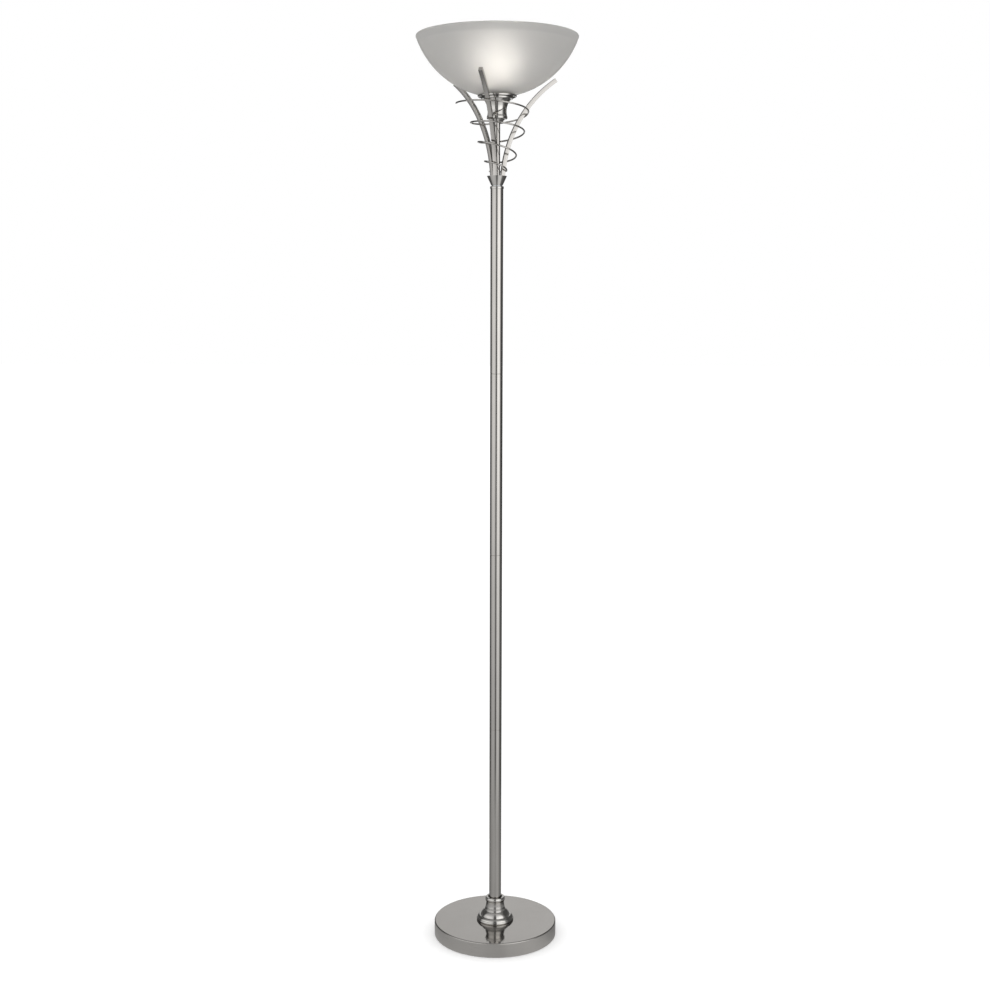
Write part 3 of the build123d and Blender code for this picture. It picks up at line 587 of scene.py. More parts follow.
# %% Bell collar
foot_z, collar_top = heights("base_collar")
pole_r, pole_foot = reach("pole_tube_2"), heights("pole_tube_1")[0]
bead_z, shoulder_z, dome_z, neck_z, lip_z = (
    foot_z + rise for rise in (5.2, 10.6, 21.4, 28.2, 41.4))
bead_bow, lip_edge = 0.8, 1.2
bead_r = reach("base_collar") - bead_bow
shoulder_r, waist_r = bead_r - 6.0, pole_r + 6.1
lip_r, hollow_r, socket_r, mouth_r = waist_r + 0.9, waist_r - 3.0, pole_r + 0.3, 15.0
mouth_z, web_z = collar_top - 3.0, pole_foot - 5.0
collar_outside = [
    (bead_r, foot_z), (bead_r, bead_z, bead_bow), (bead_r - 0.6, bead_z),
    (shoulder_r, shoulder_z, 1.2), (shoulder_r - 1.4, shoulder_z), (waist_r + 3.0, dome_z, 1.5),
    (waist_r + 1.8, neck_z, -0.2), (waist_r + 1.4, neck_z), (waist_r, lip_z, -0.5), (lip_r, lip_z),
    (lip_r, collar_top - lip_edge, 1.0), (lip_r - lip_edge, collar_top, quarter(lip_edge)),
]
collar_inside = [
    (mouth_r, collar_top), (mouth_r, mouth_z), (socket_r, mouth_z), (socket_r, pole_foot),
    (rod_hole_r, pole_foot), (rod_hole_r, web_z), (hollow_r, web_z), (hollow_r, bead_z),
]
fit("bell_collar", [(shoulder_r - 3.0, foot_z), *collar_outside, *collar_inside],
    "turned_nickel", "base_collar", "polished_nickel", around=160)

# %% [markdown]
# The pole is four lengths of drawn tube that screw together. One long tube with lines drawn on it
# would be simpler, but the joints are real, so each length has a fine chamfer at both ends and
# the joints show as thin lines. One loop turns all four from the heights of their solids.

# %% Pole tubes
tube_bore_r, chamfer = pole_r - 1.0, 0.4
for number in range(1, 5):
    node = f"pole_tube_{number}"
    low, high = heights(node)
    fit(f"drawn_tube_{number}", [
        (tube_bore_r, low), (pole_r - chamfer, low), (pole_r, low + chamfer),
        (pole_r, high - chamfer), (pole_r - chamfer, high), (tube_bore_r, high),
    ], "tube_nickel", node, "satin_nickel", around=96, ease=0.1)

# %% [markdown]
# A bead finishes the top of the pole, and above a dark groove sits the flared crown that holds
# the three bars. Both are small polished turnings. The crown could be a solid cone, but one can
# look down into it between the bars, so it is a cup with a wall and a floor.

# %% Bead and crown
bead_low, bead_high = heights("pole_bead")
bead_in_r, top_bead_bow = pole_r + 0.1, 0.5
top_bead_r = reach("pole_bead") - top_bead_bow
fit("pole_bead_ring", [
    (bead_in_r, bead_low), (top_bead_r, bead_low), (top_bead_r, bead_high, top_bead_bow),
    (bead_in_r, bead_high),
], "polished_nickel", "pole_bead", around=96, ease=0.12)
crown_low, crown_rim = heights("crown_cup")
crown_r, crown_flare, crown_floor = reach("crown_cup"), 8.3, 1.5
crown_foot_r, crown_lean = crown_r - crown_flare, crown_flare / (crown_rim - crown_low)
crown_wall, floor_z = 1.2 * hypot(1, crown_lean), crown_low + crown_floor
fit("flared_crown", [
    (rod_hole_r, crown_low), (crown_foot_r, crown_low), (crown_r, crown_rim),
    (crown_r - crown_wall, crown_rim),
    (crown_foot_r + crown_lean * crown_floor - crown_wall, floor_z), (rod_hole_r, floor_z),
], "polished_nickel", "crown_cup")

# %% [markdown]
# The lamp's decoration is three square bars that bow outwards and a wire that winds round them.
# They could be drawn by hand along curves, but both follow a rule, and Geometry Nodes keep that
# rule together with its sizes. A tree is made in code with named inputs, evaluated once, and turned
# into a plain mesh.

# %% Helpers for Geometry Nodes
def new_tree(name, sizes):
    """A tree with one geometry output and a named input for each size."""
    tree = bpy.data.node_groups.new(name, "GeometryNodeTree")
    tree.interface.new_socket("Geometry", in_out="OUTPUT", socket_type="NodeSocketGeometry")
    for label, value in sizes.items():
        kind = {int: "NodeSocketInt", float: "NodeSocketFloat"}.get(type(value), "NodeSocketObject")
        tree.interface.new_socket(label, in_out="INPUT", socket_type=kind)
    given = tree.nodes.new("NodeGroupInput").outputs
    return tree, given, tree.nodes.new("NodeGroupOutput").inputs[0]


def shape(tree, kind, settings=None, **inputs):
    """Add a Geometry Nodes node and return its first output."""
    return add_node(tree, "GeometryNode" + kind, settings, **inputs).outputs[0]


def end_tree(tree, geometry, output, finish):
    """Make instances real, give them their finish and send them out."""
    real = shape(tree, "RealizeInstances", Geometry=geometry)
    feed(tree, output, shape(tree, "SetMaterial", Geometry=real, Material=finishes[finish]))


def grow(name, tree, sizes, finish):
    """Evaluate a tree with its sizes and keep the result as a plain mesh."""
    holder = put(name, bpy.data.meshes.new(name))
    modifier = holder.modifiers.new(name, "NODES")
    modifier.node_group = tree
    for item in tree.interface.items_tree:
        if item.in_out == "INPUT":
            modifier[item.identifier] = sizes[item.name]
    result = real_mesh(holder)
    bpy.data.objects.remove(holder)
    return finished_mesh(name, result, finish)


print("tree helpers ready")

# %% [markdown]
# Each bar is an arc that leaves the crown almost upright and curves out under the bowl. Its
# centre could be set by eye. Here it follows from the bar's foot, its lean there and its tip,
# which stays a set distance below the bowl's sphere, so the bars always clear the glass.

# %% Sizes of the bars
bowl_r, bowl_depth = 166.6, 112.8
bowl_rim = heights("glass_bowl")[1]
bowl_centre = bowl_rim - bowl_depth + bowl_r
arm_width, arm_lean, arm_foot_r, arm_tip_r, tip_gap = 8.0, radians(3.0), 11.0, 118.0, 10.3
arm_foot_z = heights("crown_hub")[1] - 4.0
arm_spread = arm_tip_r - arm_foot_r
arm_rise = bowl_centre - sqrt((bowl_r + tip_gap) ** 2 - arm_tip_r**2) - arm_foot_z
arm_half = atan2(arm_spread, arm_rise) - arm_lean
arm_bend = hypot(arm_spread, arm_rise) / (2 * sin(arm_half))
arm_sizes = {
    "Bend radius": arm_bend * MM,
    "Centre radius": (arm_foot_r + arm_bend * cos(arm_lean)) * MM,
    "Centre height": (arm_foot_z - arm_bend * sin(arm_lean)) * MM,
}
bar_sizes = {
    **arm_sizes, "Bars": 3, "First angle": radians(14.7), "Width": arm_width * MM,
    "Corner": 0.6 * MM, "Start": pi - arm_lean, "Sweep": -2 * arm_half,
}
print("bars bend with a radius of", round(arm_bend, 1), "mm")

# %% [markdown]
# A square with eased corners runs along the arc, and the bar is repeated round the axis. A
# straight box could be bent instead, but a section that runs along a curve keeps its shape over
# the whole bow. A fine Bevel takes the sharpness from the sawn ends.

# %% Bowed bars
tree, size, out = new_tree("bowed_bars", bar_sizes)
arc = shape(tree, "CurveArc", {"mode": "RADIUS"}, Resolution=72, Radius=size["Bend radius"],
            Start_Angle=size["Start"], Sweep_Angle=size["Sweep"])
centre = add_node(tree, "ShaderNodeCombineXYZ", X=size["Centre radius"], Z=size["Centre height"])
upright = shape(tree, "Transform", Geometry=arc, Translation=centre.outputs[0],
                Rotation=(radians(90), 0, 0))
level = shape(tree, "SetCurveNormal", {"mode": "Z_UP"}, Curve=upright)
square = shape(tree, "CurvePrimitiveQuadrilateral", Width=size["Width"], Height=size["Width"])
soft_square = shape(tree, "FilletCurve", {"mode": "POLY"}, Curve=square, Count=4,
                    Radius=size["Corner"])
bar = shape(tree, "CurveToMesh", Curve=level, Profile_Curve=soft_square, Fill_Caps=True)
places = shape(tree, "Points", Count=size["Bars"], Position=(0, 0, 0))
share = calc(tree, "DIVIDE", 2 * pi, size["Bars"])
turn = calc(tree, "MULTIPLY", shape(tree, "InputIndex"), share)
facing = add_node(tree, "ShaderNodeCombineXYZ", Z=calc(tree, "ADD", size["First angle"], turn))
copies = shape(tree, "InstanceOnPoints", Points=places, Instance=bar, Rotation=facing.outputs[0])
end_tree(tree, copies, out, "tube_nickel")
bars = grow("bowed_bars", tree, bar_sizes, "tube_nickel")
ends = bars.modifiers.new("eased_ends", "BEVEL")
ends.width = 0.4 * MM
ends.segments = 2
ends.limit_method = "ANGLE"
ends.angle_limit = radians(60)
seat(bars, STAND, "satin_nickel", "arm_right", "arm_left", "arm_front")

# %% [markdown]
# The wire starts near the bars' tips, winds down round them in almost four turns and ends level
# above the crown. It lies on the bars at both ends and swells clear of them between. The Spiral
# node could make an even cone, but this wire was wound by hand: its turns tilt towards the front
# and the third one sags. So it has a path of its own. Turns and angles count from the top, and
# sizes are in metres.

# %% Sizes of the wire
wire_r, weld_gap = 1.6, 0.5
wire_sizes = {
    **arm_sizes, "Stand off": (arm_width / 2 + wire_r + weld_gap) * MM,
    "Turns": 3.9, "Seated turn": 0.5, "Level turn": 3.5, "Pitch": 36.4 * MM,
    "Low height": (arm_foot_z + 14.9) * MM, "Start angle": pi,
    "Flare": 5.0 * MM, "Flare turn": 0.25, "Swell": 10.5 * MM, "Lean": 0.5,
    "Tilt": 4.5 * MM, "Tilt fade": 0.5, "Sag": 8.5 * MM, "Sag turn": 2.5,
}
path_tree, size, path_out = new_tree("spiral_path", wire_sizes)
print("the wire has", len(wire_sizes), "sizes")

# %% [markdown]
# The path is a straight line of points that a chain of Math nodes bends into the spiral. Each
# kind of arithmetic gets a short function, because the chain then reads like a formula. First
# comes the height. It falls with the turns until the wire runs level, leans with the tilt, and
# dips half a turn before and after the sag.

# %% Height of the wire
def step(operation):
    """A function that adds one kind of arithmetic to the tree of the path."""
    return lambda *values: calc(path_tree, operation, *values)


plus, minus, times, over = map(step, ("ADD", "SUBTRACT", "MULTIPLY", "DIVIDE"))
least, most, sine, cosine = map(step, ("MINIMUM", "MAXIMUM", "SINE", "COSINE"))
root, power, absolute = map(step, ("SQRT", "POWER", "ABSOLUTE"))
line = shape(path_tree, "CurvePrimitiveLine", Start=(0, 0, 0), End=(0, 0, 1))
points = shape(path_tree, "ResampleCurve", {"mode": "COUNT"}, Curve=line, Count=420)
along = shape(path_tree, "SplineParameter")
turn = times(along, size["Turns"])
angle = plus(size["Start angle"], times(turn, 2 * pi))
drop = most(minus(size["Level turn"], turn), 0.0)
fall = plus(size["Low height"], times(size["Pitch"], drop))
tilted = least(over(drop, size["Tilt fade"]), 1.0)
tilt = times(times(size["Tilt"], tilted), sine(angle))
off_sag = absolute(minus(turn, size["Sag turn"]))
near_sag = minus(1.0, times(off_sag, 2.0))
sag_part = times(most(near_sag, 0.0), pi / 2)
sag = times(size["Sag"], power(sine(sag_part), 2.0))
rise = minus(minus(fall, tilt), sag)
print("height of the wire takes", len(path_tree.nodes), "nodes")

# %% [markdown]
# Next comes the distance from the axis. A cone would miss the bars, because they are curved, so
# at each height the bar's arc says where the wire would lie on the bar. The wire swells away from
# there between its seated ends, more on one side, and its free top end flares out.

# %% Distance of the wire from the axis
lean_sine = over(minus(rise, size["Centre height"]), size["Bend radius"])
lean_cosine = root(minus(1.0, times(lean_sine, lean_sine)))
arc_r = times(size["Bend radius"], lean_cosine)
bar_line = minus(size["Centre radius"], arc_r)
seated = plus(bar_line, over(size["Stand off"], lean_cosine))
free_span = minus(size["Level turn"], size["Seated turn"])
free = over(minus(turn, size["Seated turn"]), free_span)
free = least(most(free, 0.0), 1.0)
bulge = times(size["Swell"], sine(times(free, pi)))
skew = plus(1.0, times(size["Lean"], cosine(angle)))
opening = most(minus(1.0, over(turn, size["Flare turn"])), 0.0)
flare = times(size["Flare"], times(opening, opening))
radius = plus(plus(seated, times(bulge, skew)), flare)
print("height and distance take", len(path_tree.nodes), "nodes")

# %% [markdown]
# Angle, distance and height place each point. Every tree could hold this path itself, but both
# the wire and its weld beads follow it, so it stays a group of its own.

# %% Path of the wire
spot = add_node(path_tree, "ShaderNodeCombineXYZ", X=times(radius, cosine(angle)),
                Y=times(radius, sine(angle)), Z=rise)
spiral = shape(path_tree, "SetPosition", Geometry=points, Position=spot.outputs[0])
feed(path_tree, path_out, spiral)


def spiral_path(tree, size):
    """The path inside another tree, with the same named sizes."""
    group = tree.nodes.new("GeometryNodeGroup")
    group.node_tree = path_tree
    for label in wire_sizes:
        feed(tree, group.inputs[label], size[label])
    return group.outputs[0]


print("spiral path has", len(path_tree.nodes), "nodes")

# %% [markdown]
# A round section along the path makes the wire. A curve object with a bevel depth would look the
# same, but this way the wire stays tied to the sizes of the path. Its ends are closed, as cut
# wire is.

# %% Spiral wire
round_sizes = {**wire_sizes, "Wire radius": wire_r * MM}
tree, size, out = new_tree("spiral_wire", round_sizes)
section = shape(tree, "CurvePrimitiveCircle", Resolution=20, Radius=size["Wire radius"])
wire = shape(tree, "CurveToMesh", Curve=spiral_path(tree, size), Profile_Curve=section,
             Fill_Caps=True)
end_tree(tree, wire, out, "tube_nickel")
spiral_of_wire = grow("spiral_of_wire", tree, round_sizes, "tube_nickel")
seat(spiral_of_wire, STAND, "satin_nickel", "spiral_wire")

# %% [markdown]
# Where the wire touches a bar it is spot welded. The beads could be placed by hand, but they
# would stay behind when a size changes. So points are spread along the path, only those close to
# a bar are kept, neighbours merge into one, and each is moved to the seam and becomes a bead.

# %% Weld beads
seam_share = 0.72  # of the way from the wire's middle to the bar's face
weld_sizes = {**wire_sizes, "Bars": bars, "Touch": (wire_r + 1.2) * MM, "Apart": 7.0 * MM,
              "Bead": 1.5 * MM}
tree, size, out = new_tree("weld_beads", weld_sizes)
spots = shape(tree, "CurveToPoints", {"mode": "COUNT"}, Curve=spiral_path(tree, size), Count=3000)
solid = add_node(tree, "GeometryNodeObjectInfo", {"transform_space": "ORIGINAL"},
                 Object=size["Bars"])
near = add_node(tree, "GeometryNodeProximity", {"target_element": "FACES"})
feed(tree, near.inputs[0], solid.outputs["Geometry"])
far = calc(tree, "GREATER_THAN", near.outputs["Distance"], size["Touch"])
close = shape(tree, "DeleteGeometry", Geometry=spots, Selection=far)
single = shape(tree, "MergeByDistance", Geometry=close, Distance=size["Apart"])
seam = add_node(tree, "ShaderNodeMix", {"data_type": "VECTOR"})
feed(tree, seam.inputs[0], seam_share)
feed(tree, seam.inputs[4], shape(tree, "InputPosition"))
feed(tree, seam.inputs[5], near.outputs["Position"])
moved = shape(tree, "SetPosition", Geometry=single, Position=seam.outputs[1])
ball = shape(tree, "MeshIcoSphere", Radius=size["Bead"], Subdivisions=3)
end_tree(tree, shape(tree, "InstanceOnPoints", Points=moved, Instance=ball), out, "tube_nickel")
welds = grow("weld_beads", tree, weld_sizes, "tube_nickel")
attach(welds, STAND)
print("weld beads have", len(welds.data.vertices), "points")

# %% [markdown]
# A slim sleeve rises between the bars, and a cone nut on it carries the shade holder, which
# starts with a turned cup: a rounded foot, a waist, and a flare up to the rim. All three are
# round, so the lathe makes them. The cup could be solid, but on the real lamp the lead runs up
# through it, so it is a shell with a floor.

# %% Stem, nut and holder cup
nipple_hole_r = 5.2
fit("stem_tube", plain_ring(nipple_hole_r, reach("stem_sleeve"), *heights("stem_sleeve")),
    "tube_nickel", "stem_sleeve", "satin_nickel", around=64, ease=0.15)
nut_low, nut_top = heights("stem_nut")
nut_bore_r, nut_foot_r, nut_top_r = 5.0, 10.0, 15.0
fit("cone_nut", [
    (nut_bore_r, nut_low), (nut_foot_r, nut_low), (nut_top_r, nut_top), (nut_bore_r, nut_top),
], "polished_nickel", "stem_nut", around=96)
cup_low, cup_top = heights("holder_cup")
cup_waist_r, cup_rim_r, cup_wall = 18.2, reach("holder_cup"), 1.6
cup_in_r, flare_bow = cup_waist_r - cup_wall, 2.3
waist_z, cup_floor_z = cup_low + 15.5, cup_low + 3.0
fit("holder_cup_turning", [
    (nipple_hole_r, cup_low), (cup_waist_r, cup_low), (cup_waist_r + 1.7, cup_low + 2.6, 0.65),
    (cup_waist_r + 0.7, cup_low + 7.2, 0.45), (cup_waist_r, waist_z, -0.15),
    (cup_rim_r, cup_top, -flare_bow), (cup_rim_r - cup_wall, cup_top),
    (cup_in_r, waist_z, flare_bow), (cup_in_r, cup_floor_z), (nipple_hole_r, cup_floor_z),
], "polished_nickel", "holder_cup")

# %% [markdown]
# The pieces under the bowl fit its sphere. Their curves could be lists of points, but then a
# change to the bowl would leave gaps. Three helpers describe the sphere instead, grown by an
# offset so that sheets lie on each other.

# %% The bowl's sphere
def sphere_z(offset, radius):
    """Height of the bowl's sphere, grown by offset, at a radius from the axis."""
    return bowl_centre - sqrt((bowl_r + offset) ** 2 - radius**2)


def sphere_bow(offset, first_r, second_r):
    """How far that sphere stands below its chord."""
    rise = sphere_z(offset, second_r) - sphere_z(offset, first_r)
    half = hypot(second_r - first_r, rise) / 2
    return bowl_r + offset - sqrt((bowl_r + offset) ** 2 - half**2)


def sphere_edge(offset, start_r, end_r):
    """An outline's point on the sphere, reached from another point on it, outwards or inwards."""
    side = 1 if end_r > start_r else -1
    bow = sphere_bow(offset, min(start_r, end_r), max(start_r, end_r))
    return end_r, sphere_z(offset, end_r), side * bow


print("centre of the bowl's sphere:", round(bowl_centre, 1), "mm")

# %% [markdown]
# The shade holder goes on with a ring on the cup's rim and a spun dish that ends in a rolled rim.
# A thin gasket keeps the glass off the metal. Each could be a flat disc, but light would then
# show between them, so all three follow the bowl's sphere.

# %% Gallery ring, dish and gasket
roll, ring_offset, dish_under, dish_over, gasket_under, gasket_over = 0.6, 2.6, 2.5, 1.0, 0.9, 0.1
ring_in_r, ring_edge_r = 23.0, reach("gallery_ring") - roll
fit("gallery_ring_turning", [
    (ring_in_r, cup_top), (ring_edge_r, cup_top),
    (ring_edge_r, sphere_z(ring_offset, ring_edge_r), roll),
    sphere_edge(ring_offset, ring_edge_r, ring_in_r),
], "polished_nickel", "gallery_ring")
dish_r, dish_hole_r = reach("gallery_dish"), 20.05
dish_edge_r, dish_rim_r = dish_r - roll, dish_r - 2.6
dish_low = sphere_z(dish_under, dish_rim_r) - 2.4
fit("gallery_dish_spinning", [
    (dish_hole_r, sphere_z(dish_under, dish_hole_r)),
    sphere_edge(dish_under, dish_hole_r, dish_rim_r), (dish_rim_r, dish_low),
    (dish_edge_r, dish_low), (dish_edge_r, sphere_z(dish_over, dish_edge_r), roll),
    sphere_edge(dish_over, dish_edge_r, dish_hole_r),
], "polished_nickel", "gallery_dish")
gasket_in_r, gasket_out_r = 23.5, 33.0
fit("bowl_gasket", [
    (gasket_in_r, sphere_z(gasket_under, gasket_in_r)),
    sphere_edge(gasket_under, gasket_in_r, gasket_out_r),
    (gasket_out_r, sphere_z(gasket_over, gasket_out_r)),
    sphere_edge(gasket_over, gasket_out_r, gasket_in_r),
], "silicone", "lower_gasket", around=96)

# %% [markdown]
# The bowl is part of a sphere, pressed in one piece with a full-round lip. Half a sphere with a
# Solidify modifier would have a square lip, so the bowl is turned as a closed shell, with a hole
# in its bottom for the lampholder. It has more rings than the other pieces, for a smooth outline
# and smooth light.

# %% Glass bowl
bowl_wall, bowl_hole_r, bowl_step = 5.0, 21.0, radians(1.5)
lip_sine = (bowl_centre - bowl_rim + bowl_wall / 2) / (bowl_r - bowl_wall / 2)
lip_cosine = sqrt(1 - lip_sine**2)
outer_lip_r, inner_lip_r = bowl_r * lip_cosine, (bowl_r - bowl_wall) * lip_cosine
fit("pressed_glass_bowl", [
    (bowl_hole_r, sphere_z(0, bowl_hole_r)), sphere_edge(0, bowl_hole_r, outer_lip_r),
    (inner_lip_r, sphere_z(-bowl_wall, inner_lip_r), bowl_wall / 2),
    sphere_edge(-bowl_wall, inner_lip_r, bowl_hole_r),
], "frosted_glass", "glass_bowl", around=224, arc_step=bowl_step)

# %% [markdown]
# A white lampholder stands up through that hole, threaded for the ring that clamps the bowl. A
# thread could be swept along a helix, but it would then have to be joined to the body. It is also
# a groove whose height grows with the angle, so the lathe can cut it: each point moves inwards by
# a wave of its height less its share of a turn.

# %% Screw threads
FACE_MATCH = 0.02  # a point this close to a radius lies on the threaded face


def thread(major_r, low, high, pitch, depth):
    """A reshape rule that cuts a right-hand thread into the face at a radius."""
    def cut_thread(radius, height, angle):
        if abs(radius - major_r) > FACE_MATCH or not low < height < high:
            return radius
        wave = 0.5 - 0.5 * cos(2 * pi * (height / pitch - angle / (2 * pi)))
        fade = min(1.0, (height - low) / pitch, (high - height) / pitch)
        return radius - depth * wave * fade
    return cut_thread


def run(radius, low, high, step):
    """Points up a straight face, close enough together to carry a thread."""
    count = ceil((high - low) / step)
    return [(radius, low + (high - low) * k / count) for k in range(count + 1)]


print("threads ready")

# %% [markdown]
# The lampholder has a flange that rests under the dish, the threaded outside, and a cavity for
# the lamp's cap with a web and a hole for the lead at its foot. A plain cylinder would do while
# the lamp is in place, but the lamp can be taken out, so the cavity is made as well.

# %% Lampholder
holder_low, holder_top = heights("lampholder_body")
thread_r, ring_pitch, ring_thread_depth = 19.75, 2.0, 0.55
clear_r = thread_r + 0.3  # holes that slip over the thread
holder_foot_r, flange_r, cavity_r, lead_hole_r, mouth_bevel = 12.3, thread_r + 2.5, 13.85, 2.8, 1.0
flange_top, web_top = sphere_z(dish_under, clear_r) - 0.1, holder_low + 3.5
flange_low = flange_top - 3.0
ring_thread = thread(thread_r, flange_top + 4.0, holder_top - 0.8, ring_pitch, ring_thread_depth)
fit("threaded_lampholder", [
    (lead_hole_r, holder_low), (holder_foot_r, holder_low), (thread_r, flange_low),
    (flange_r, flange_low), (flange_r, flange_top),
    *run(thread_r, flange_top, holder_top, ring_pitch / 8), (cavity_r + mouth_bevel, holder_top),
    (cavity_r, holder_top - mouth_bevel), (cavity_r, web_top), (lead_hole_r, web_top),
], "white_plastic", "lampholder_body", around=96, reshape=ring_thread)

# %% [markdown]
# The clamp washer and the ring above it hold the bowl down. The ring has a dozen round finger
# grips in its edge. Cylinders could be cut from it, but the lathe's rule can follow the angle,
# which keeps the mesh even.

# %% Clamp washer and shade ring
clamp_r, grips, grip_r, grip_band = 27.0, 12, 2.2, 1.5
fit("clamp_washer", plain_ring(clear_r, clamp_r, *heights("upper_washer")), "zinc_steel",
    "upper_washer", body="ring_washer", around=96)


def finger_grips(radius, height, angle):
    """Round notches in the ring's edge."""
    if radius < clamp_r - grip_band:
        return radius
    sector = 2 * pi / grips
    off = abs((angle + sector / 2) % sector - sector / 2) * clamp_r
    return min(radius, clamp_r - sqrt(max(grip_r**2 - off**2, 0.0)))


fit("shade_ring_moulding", plain_ring(clear_r, clamp_r, *heights("shade_ring")),
    "white_plastic", "shade_ring", body="ring", around=288, ease=0.5, reshape=finger_grips)

# %% [markdown]
# The lamp is a globe on a screw cap. The cap has the coarse rounded thread that every such lamp
# has. A smooth cap would be enough while the lamp is in place, but the thread shows when it is
# taken out, and the rule for threads is there already. The cap is thin sheet, so its outline goes
# up the outside and down the inside.

# %% Screw cap
cap_low, cap_top = heights("bulb_cap")
cap_r, cap_wall, cap_pitch, cap_thread_depth, contact_r = reach("bulb_cap"), 0.8, 3.6286, 0.7, 5.0
cap_in_r, shoulder = cap_r - cap_wall, cap_low + 5.0
cap_thread = thread(cap_r, shoulder + 0.4, cap_top - 3.5, cap_pitch, cap_thread_depth)
fit("threaded_lamp_cap", [
    (0, cap_low), (contact_r, cap_low), *run(cap_r, shoulder, cap_top, cap_pitch / 14),
    (cap_in_r, cap_top), (cap_in_r, shoulder), (contact_r, cap_low + cap_wall),
    (0, cap_low + cap_wall),
], "brass", "bulb_cap", body="bulb", around=96, reshape=cap_thread)

# %% [markdown]
# The globe's neck sweeps up into a sphere. A sphere on a cone would show a crease, so neck and
# sphere are two arcs that meet without a corner. The glass has an inside at a constant depth.

# %% Globe
globe_r, neck_r, neck_bend, globe_wall = 30.0, cap_r - 0.5, 50.5, 1.0
globe_rise = sqrt((globe_r + neck_bend) ** 2 - (neck_r + neck_bend) ** 2)
globe_z = cap_top + globe_rise


def globe_side(inset):
    """Neck, join and top of the globe at a depth in its glass, with the bows of its two arcs."""
    ball_r, bend_r = globe_r - inset, neck_bend + inset
    share = ball_r / (globe_r + neck_bend)
    foot = (neck_r - inset, cap_top)
    join = ((neck_r + neck_bend) * share, globe_z - globe_rise * share)
    top = (0.0, globe_z + ball_r)
    neck_half = hypot(join[0] - foot[0], join[1] - foot[1]) / 2
    ball_half = hypot(join[0], top[1] - join[1]) / 2
    neck_bow = bend_r - sqrt(bend_r**2 - neck_half**2)
    return foot, join, top, neck_bow, ball_r - sqrt(ball_r**2 - ball_half**2)


foot, join, top, neck_bow, ball_bow = globe_side(0.0)
in_foot, in_join, in_top, in_neck_bow, in_ball_bow = globe_side(globe_wall)
fit("opal_globe", [
    foot, (*join, -neck_bow), (*top, ball_bow), in_top, (*in_join, -in_ball_bow),
    (*in_foot, in_neck_bow),
], "lamp_glass", "bulb_globe", body="bulb", around=96, ease=0.1)

# %% [markdown]
# The other solids, most of them inside the lamp, keep their CAD shape: the weight, the terminals,
# the joints of the pole and the lead. They could be made again too, but hardly anything of that
# would be seen. Each only takes the finish of its slot in the record.

# %% Finishes of the remaining solids
slot_finish = {"satin_nickel": "tube_nickel"}
slots = {entry["node"]: entry["material_slot"] for entry in frame["record"]["subparts"]}
kept = [name for name, solid in frame["nodes"].items() if not solid.hide_render]
for name in kept:
    solid = frame["nodes"][name]
    finish = finishes[slot_finish.get(slots[name], slots[name])]
    solid.data.materials.clear()
    solid.data.materials.append(finish)
print("solids with a finish only:", len(kept))

# %% [markdown]
# The set is a pale floor in even white light, as in a studio tent. More light would turn the
# floor white, but it would bleach the lamp as well. Instead the floor adds a little white for the
# camera and for reflections, which turns its far part into the white of the background and keeps
# the soft shadow under the base.

# %% Floor and light
FLOOR, floor_white = 30.0, 0.17


def stage_mesh(name, corners, faces, material):
    """A stage piece from corners and faces."""
    mesh = bpy.data.meshes.new(name)
    mesh.from_pydata(corners, [], faces)
    mesh.materials.append(material)
    piece = put(name, mesh)
    return piece


paper, tree, shader, place = new_finish("pale_paper")
rays = tree.nodes.new("ShaderNodeLightPath").outputs
mirrored = calc(tree, "MAXIMUM", rays["Is Glossy Ray"], rays["Is Transmission Ray"])
seen = calc(tree, "MAXIMUM", rays["Is Camera Ray"], mirrored)
fill(tree, shader, Base_Color=(0.95, 0.95, 0.95, 1.0), Roughness=1.0, Specular_IOR_Level=0.0,
     Emission_Color=(1.0, 1.0, 1.0, 1.0),
     Emission_Strength=calc(tree, "MULTIPLY", seen, floor_white))
floor_corners = [(-FLOOR, -FLOOR, 0), (FLOOR, -FLOOR, 0), (FLOOR, FLOOR, 0), (-FLOOR, FLOOR, 0)]
stage_mesh("floor", floor_corners, [(0, 1, 2, 3)], paper)
world = bpy.data.worlds.new("white_tent")
bpy.context.scene.world = world
world.use_nodes = True
tent = world.node_tree.nodes["Background"].inputs
tent["Color"].default_value = (1.0, 1.0, 1.0, 1.0)
tent["Strength"].default_value = 1.0
print("floor and tent ready")

# %% [markdown]
# Bright metal shows only what stands around it. In a studio, white and dark cards stand round
# such an object: the white ones make its bright stripes and the dark ones draw its edges.
# Separate planes could stand for them, but those leave gaps and hard borders. Here the cards are
# one round wall, closed overhead, that only reflections see, so it lights nothing and hides
# nothing. A bearing is in degrees from the front, right positive, and has its glow at the floor,
# at eye level and above it. A level is a distance from the axis and a height, with a plain glow
# and the shares of those three glows.

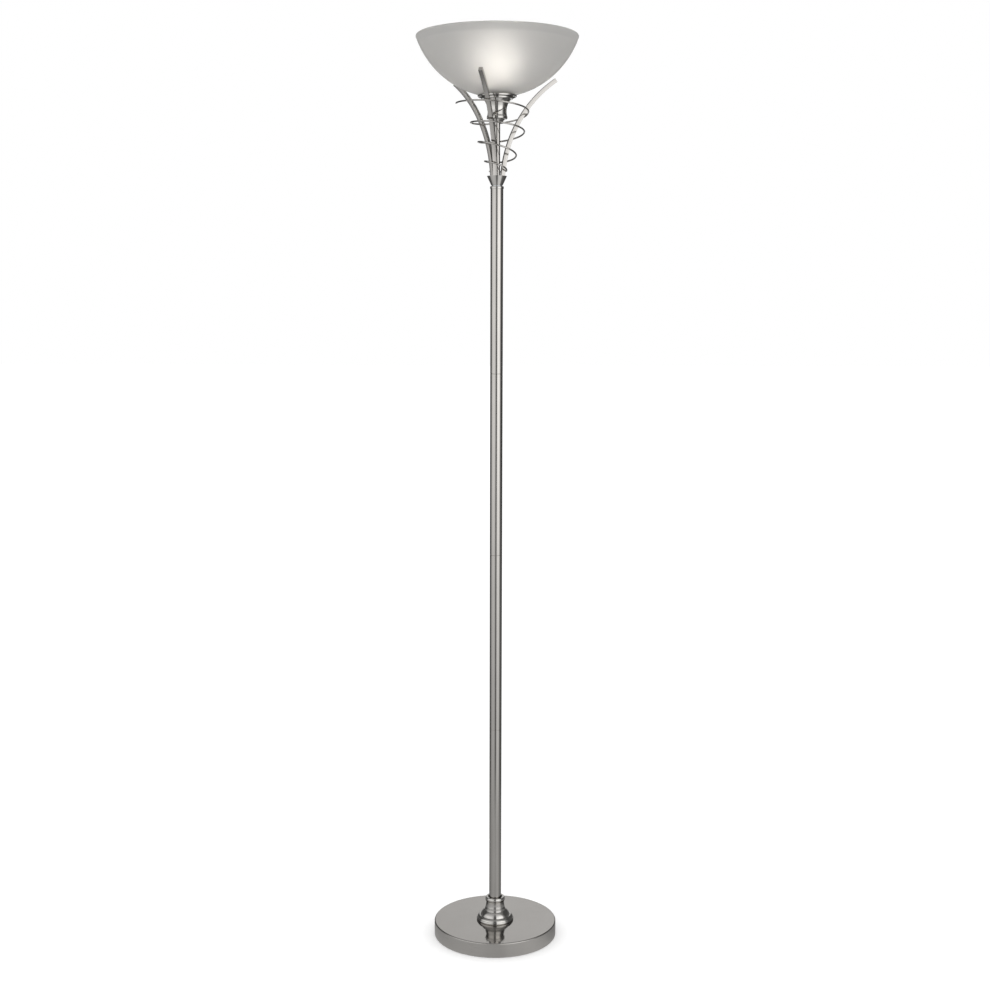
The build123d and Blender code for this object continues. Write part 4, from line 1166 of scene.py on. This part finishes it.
# %% Glow of the cards
bearings = [
    (-180, 0.26, 0.87, 0.15), (-168, 0.26, 0.79, 0.12), (-160, 0.24, 0.12, 0.10),
    (-102, 0.36, 0.10, 0.10), (-93, 0.45, 0.95, 0.70), (-60, 0.56, 1.45, 1.1),
    (-30, 0.60, 1.40, 1.1), (-14, 0.60, 0.90, 0.8), (-9, 0.56, 0.18, 0.18),
    (8, 0.52, 0.14, 0.14), (14, 0.62, 1.7, 1.4), (40, 0.68, 2.1, 1.65), (62, 0.58, 1.9, 1.4),
    (74, 0.42, 0.5, 0.4), (90, 0.32, 0.12, 0.10), (160, 0.18, 0.10, 0.10),
    (168, 0.20, 0.88, 0.12), (180, 0.26, 0.87, 0.15),
]
on_floor, drum_r, eye_low, eye_high, above_low, above_high, ceiling = (
    0.0015, 3.2, 0.8, 1.75, 1.85, 2.6, 3.2)
levels = [
    (0.128, on_floor, 0.0, 1.0, 0.0, 0.0), (0.7, on_floor, 0.0, 1.0, 0.0, 0.0),
    (1.2, on_floor, 0.10, 0.0, 0.42, 0.0), (drum_r, on_floor, 0.10, 0.0, 0.56, 0.0),
    (drum_r, eye_low, 0.0, 0.0, 0.90, 0.0), (drum_r, eye_high, 0.0, 0.0, 1.0, 0.0),
    (drum_r, above_low, 0.0, 0.0, 0.0, 1.0), (drum_r, above_high, 0.0, 0.0, 0.0, 1.0),
    (drum_r, ceiling, 0.15, 0.0, 0.0, 0.60), (0.05, ceiling, 0.45, 0.0, 0.0, 0.0),
]
print("cards have", len(bearings), "bearings and", len(levels), "levels")

# %% [markdown]
# Bearings and levels make a grid of points. A painted picture could hold the glow, but it would
# have to be unwrapped. Here the glow of each point is an attribute of the mesh, which the shader
# reads and blends between points.

# %% Card wall
corners, glows, faces = [], [], []
for bearing, *bearing_glows in bearings:
    for distance, height, plain, *shares in levels:
        across, ahead = distance * sin(radians(bearing)), -distance * cos(radians(bearing))
        corners.append((across, ahead, height))
        glows.append(plain + sum(share * glow for share, glow in zip(shares, bearing_glows)))
rows = len(levels)
for k in range(len(bearings) - 1):
    for j in range(rows - 1):
        here, beside = k * rows + j, (k + 1) * rows + j
        faces.append((here, here + 1, beside + 1, beside))
card_finish = bpy.data.materials.new("card_glow")
card_finish.use_nodes = True
tree = card_finish.node_tree
tree.nodes.remove(tree.nodes["Principled BSDF"])
glow = add_node(tree, "ShaderNodeAttribute", {"attribute_name": "glow"})
shine = add_node(tree, "ShaderNodeEmission", Strength=glow.outputs["Fac"])
feed(tree, tree.nodes["Material Output"].inputs["Surface"], shine.outputs[0])
cards = stage_mesh("card_wall", corners, faces, card_finish)
cards.data.attributes.new("glow", "FLOAT", "POINT").data.foreach_set("value", glows)
for kind in ("camera", "diffuse", "transmission", "volume_scatter", "shadow"):
    setattr(cards, "visible_" + kind, False)
print("card wall has", len(faces), "faces")
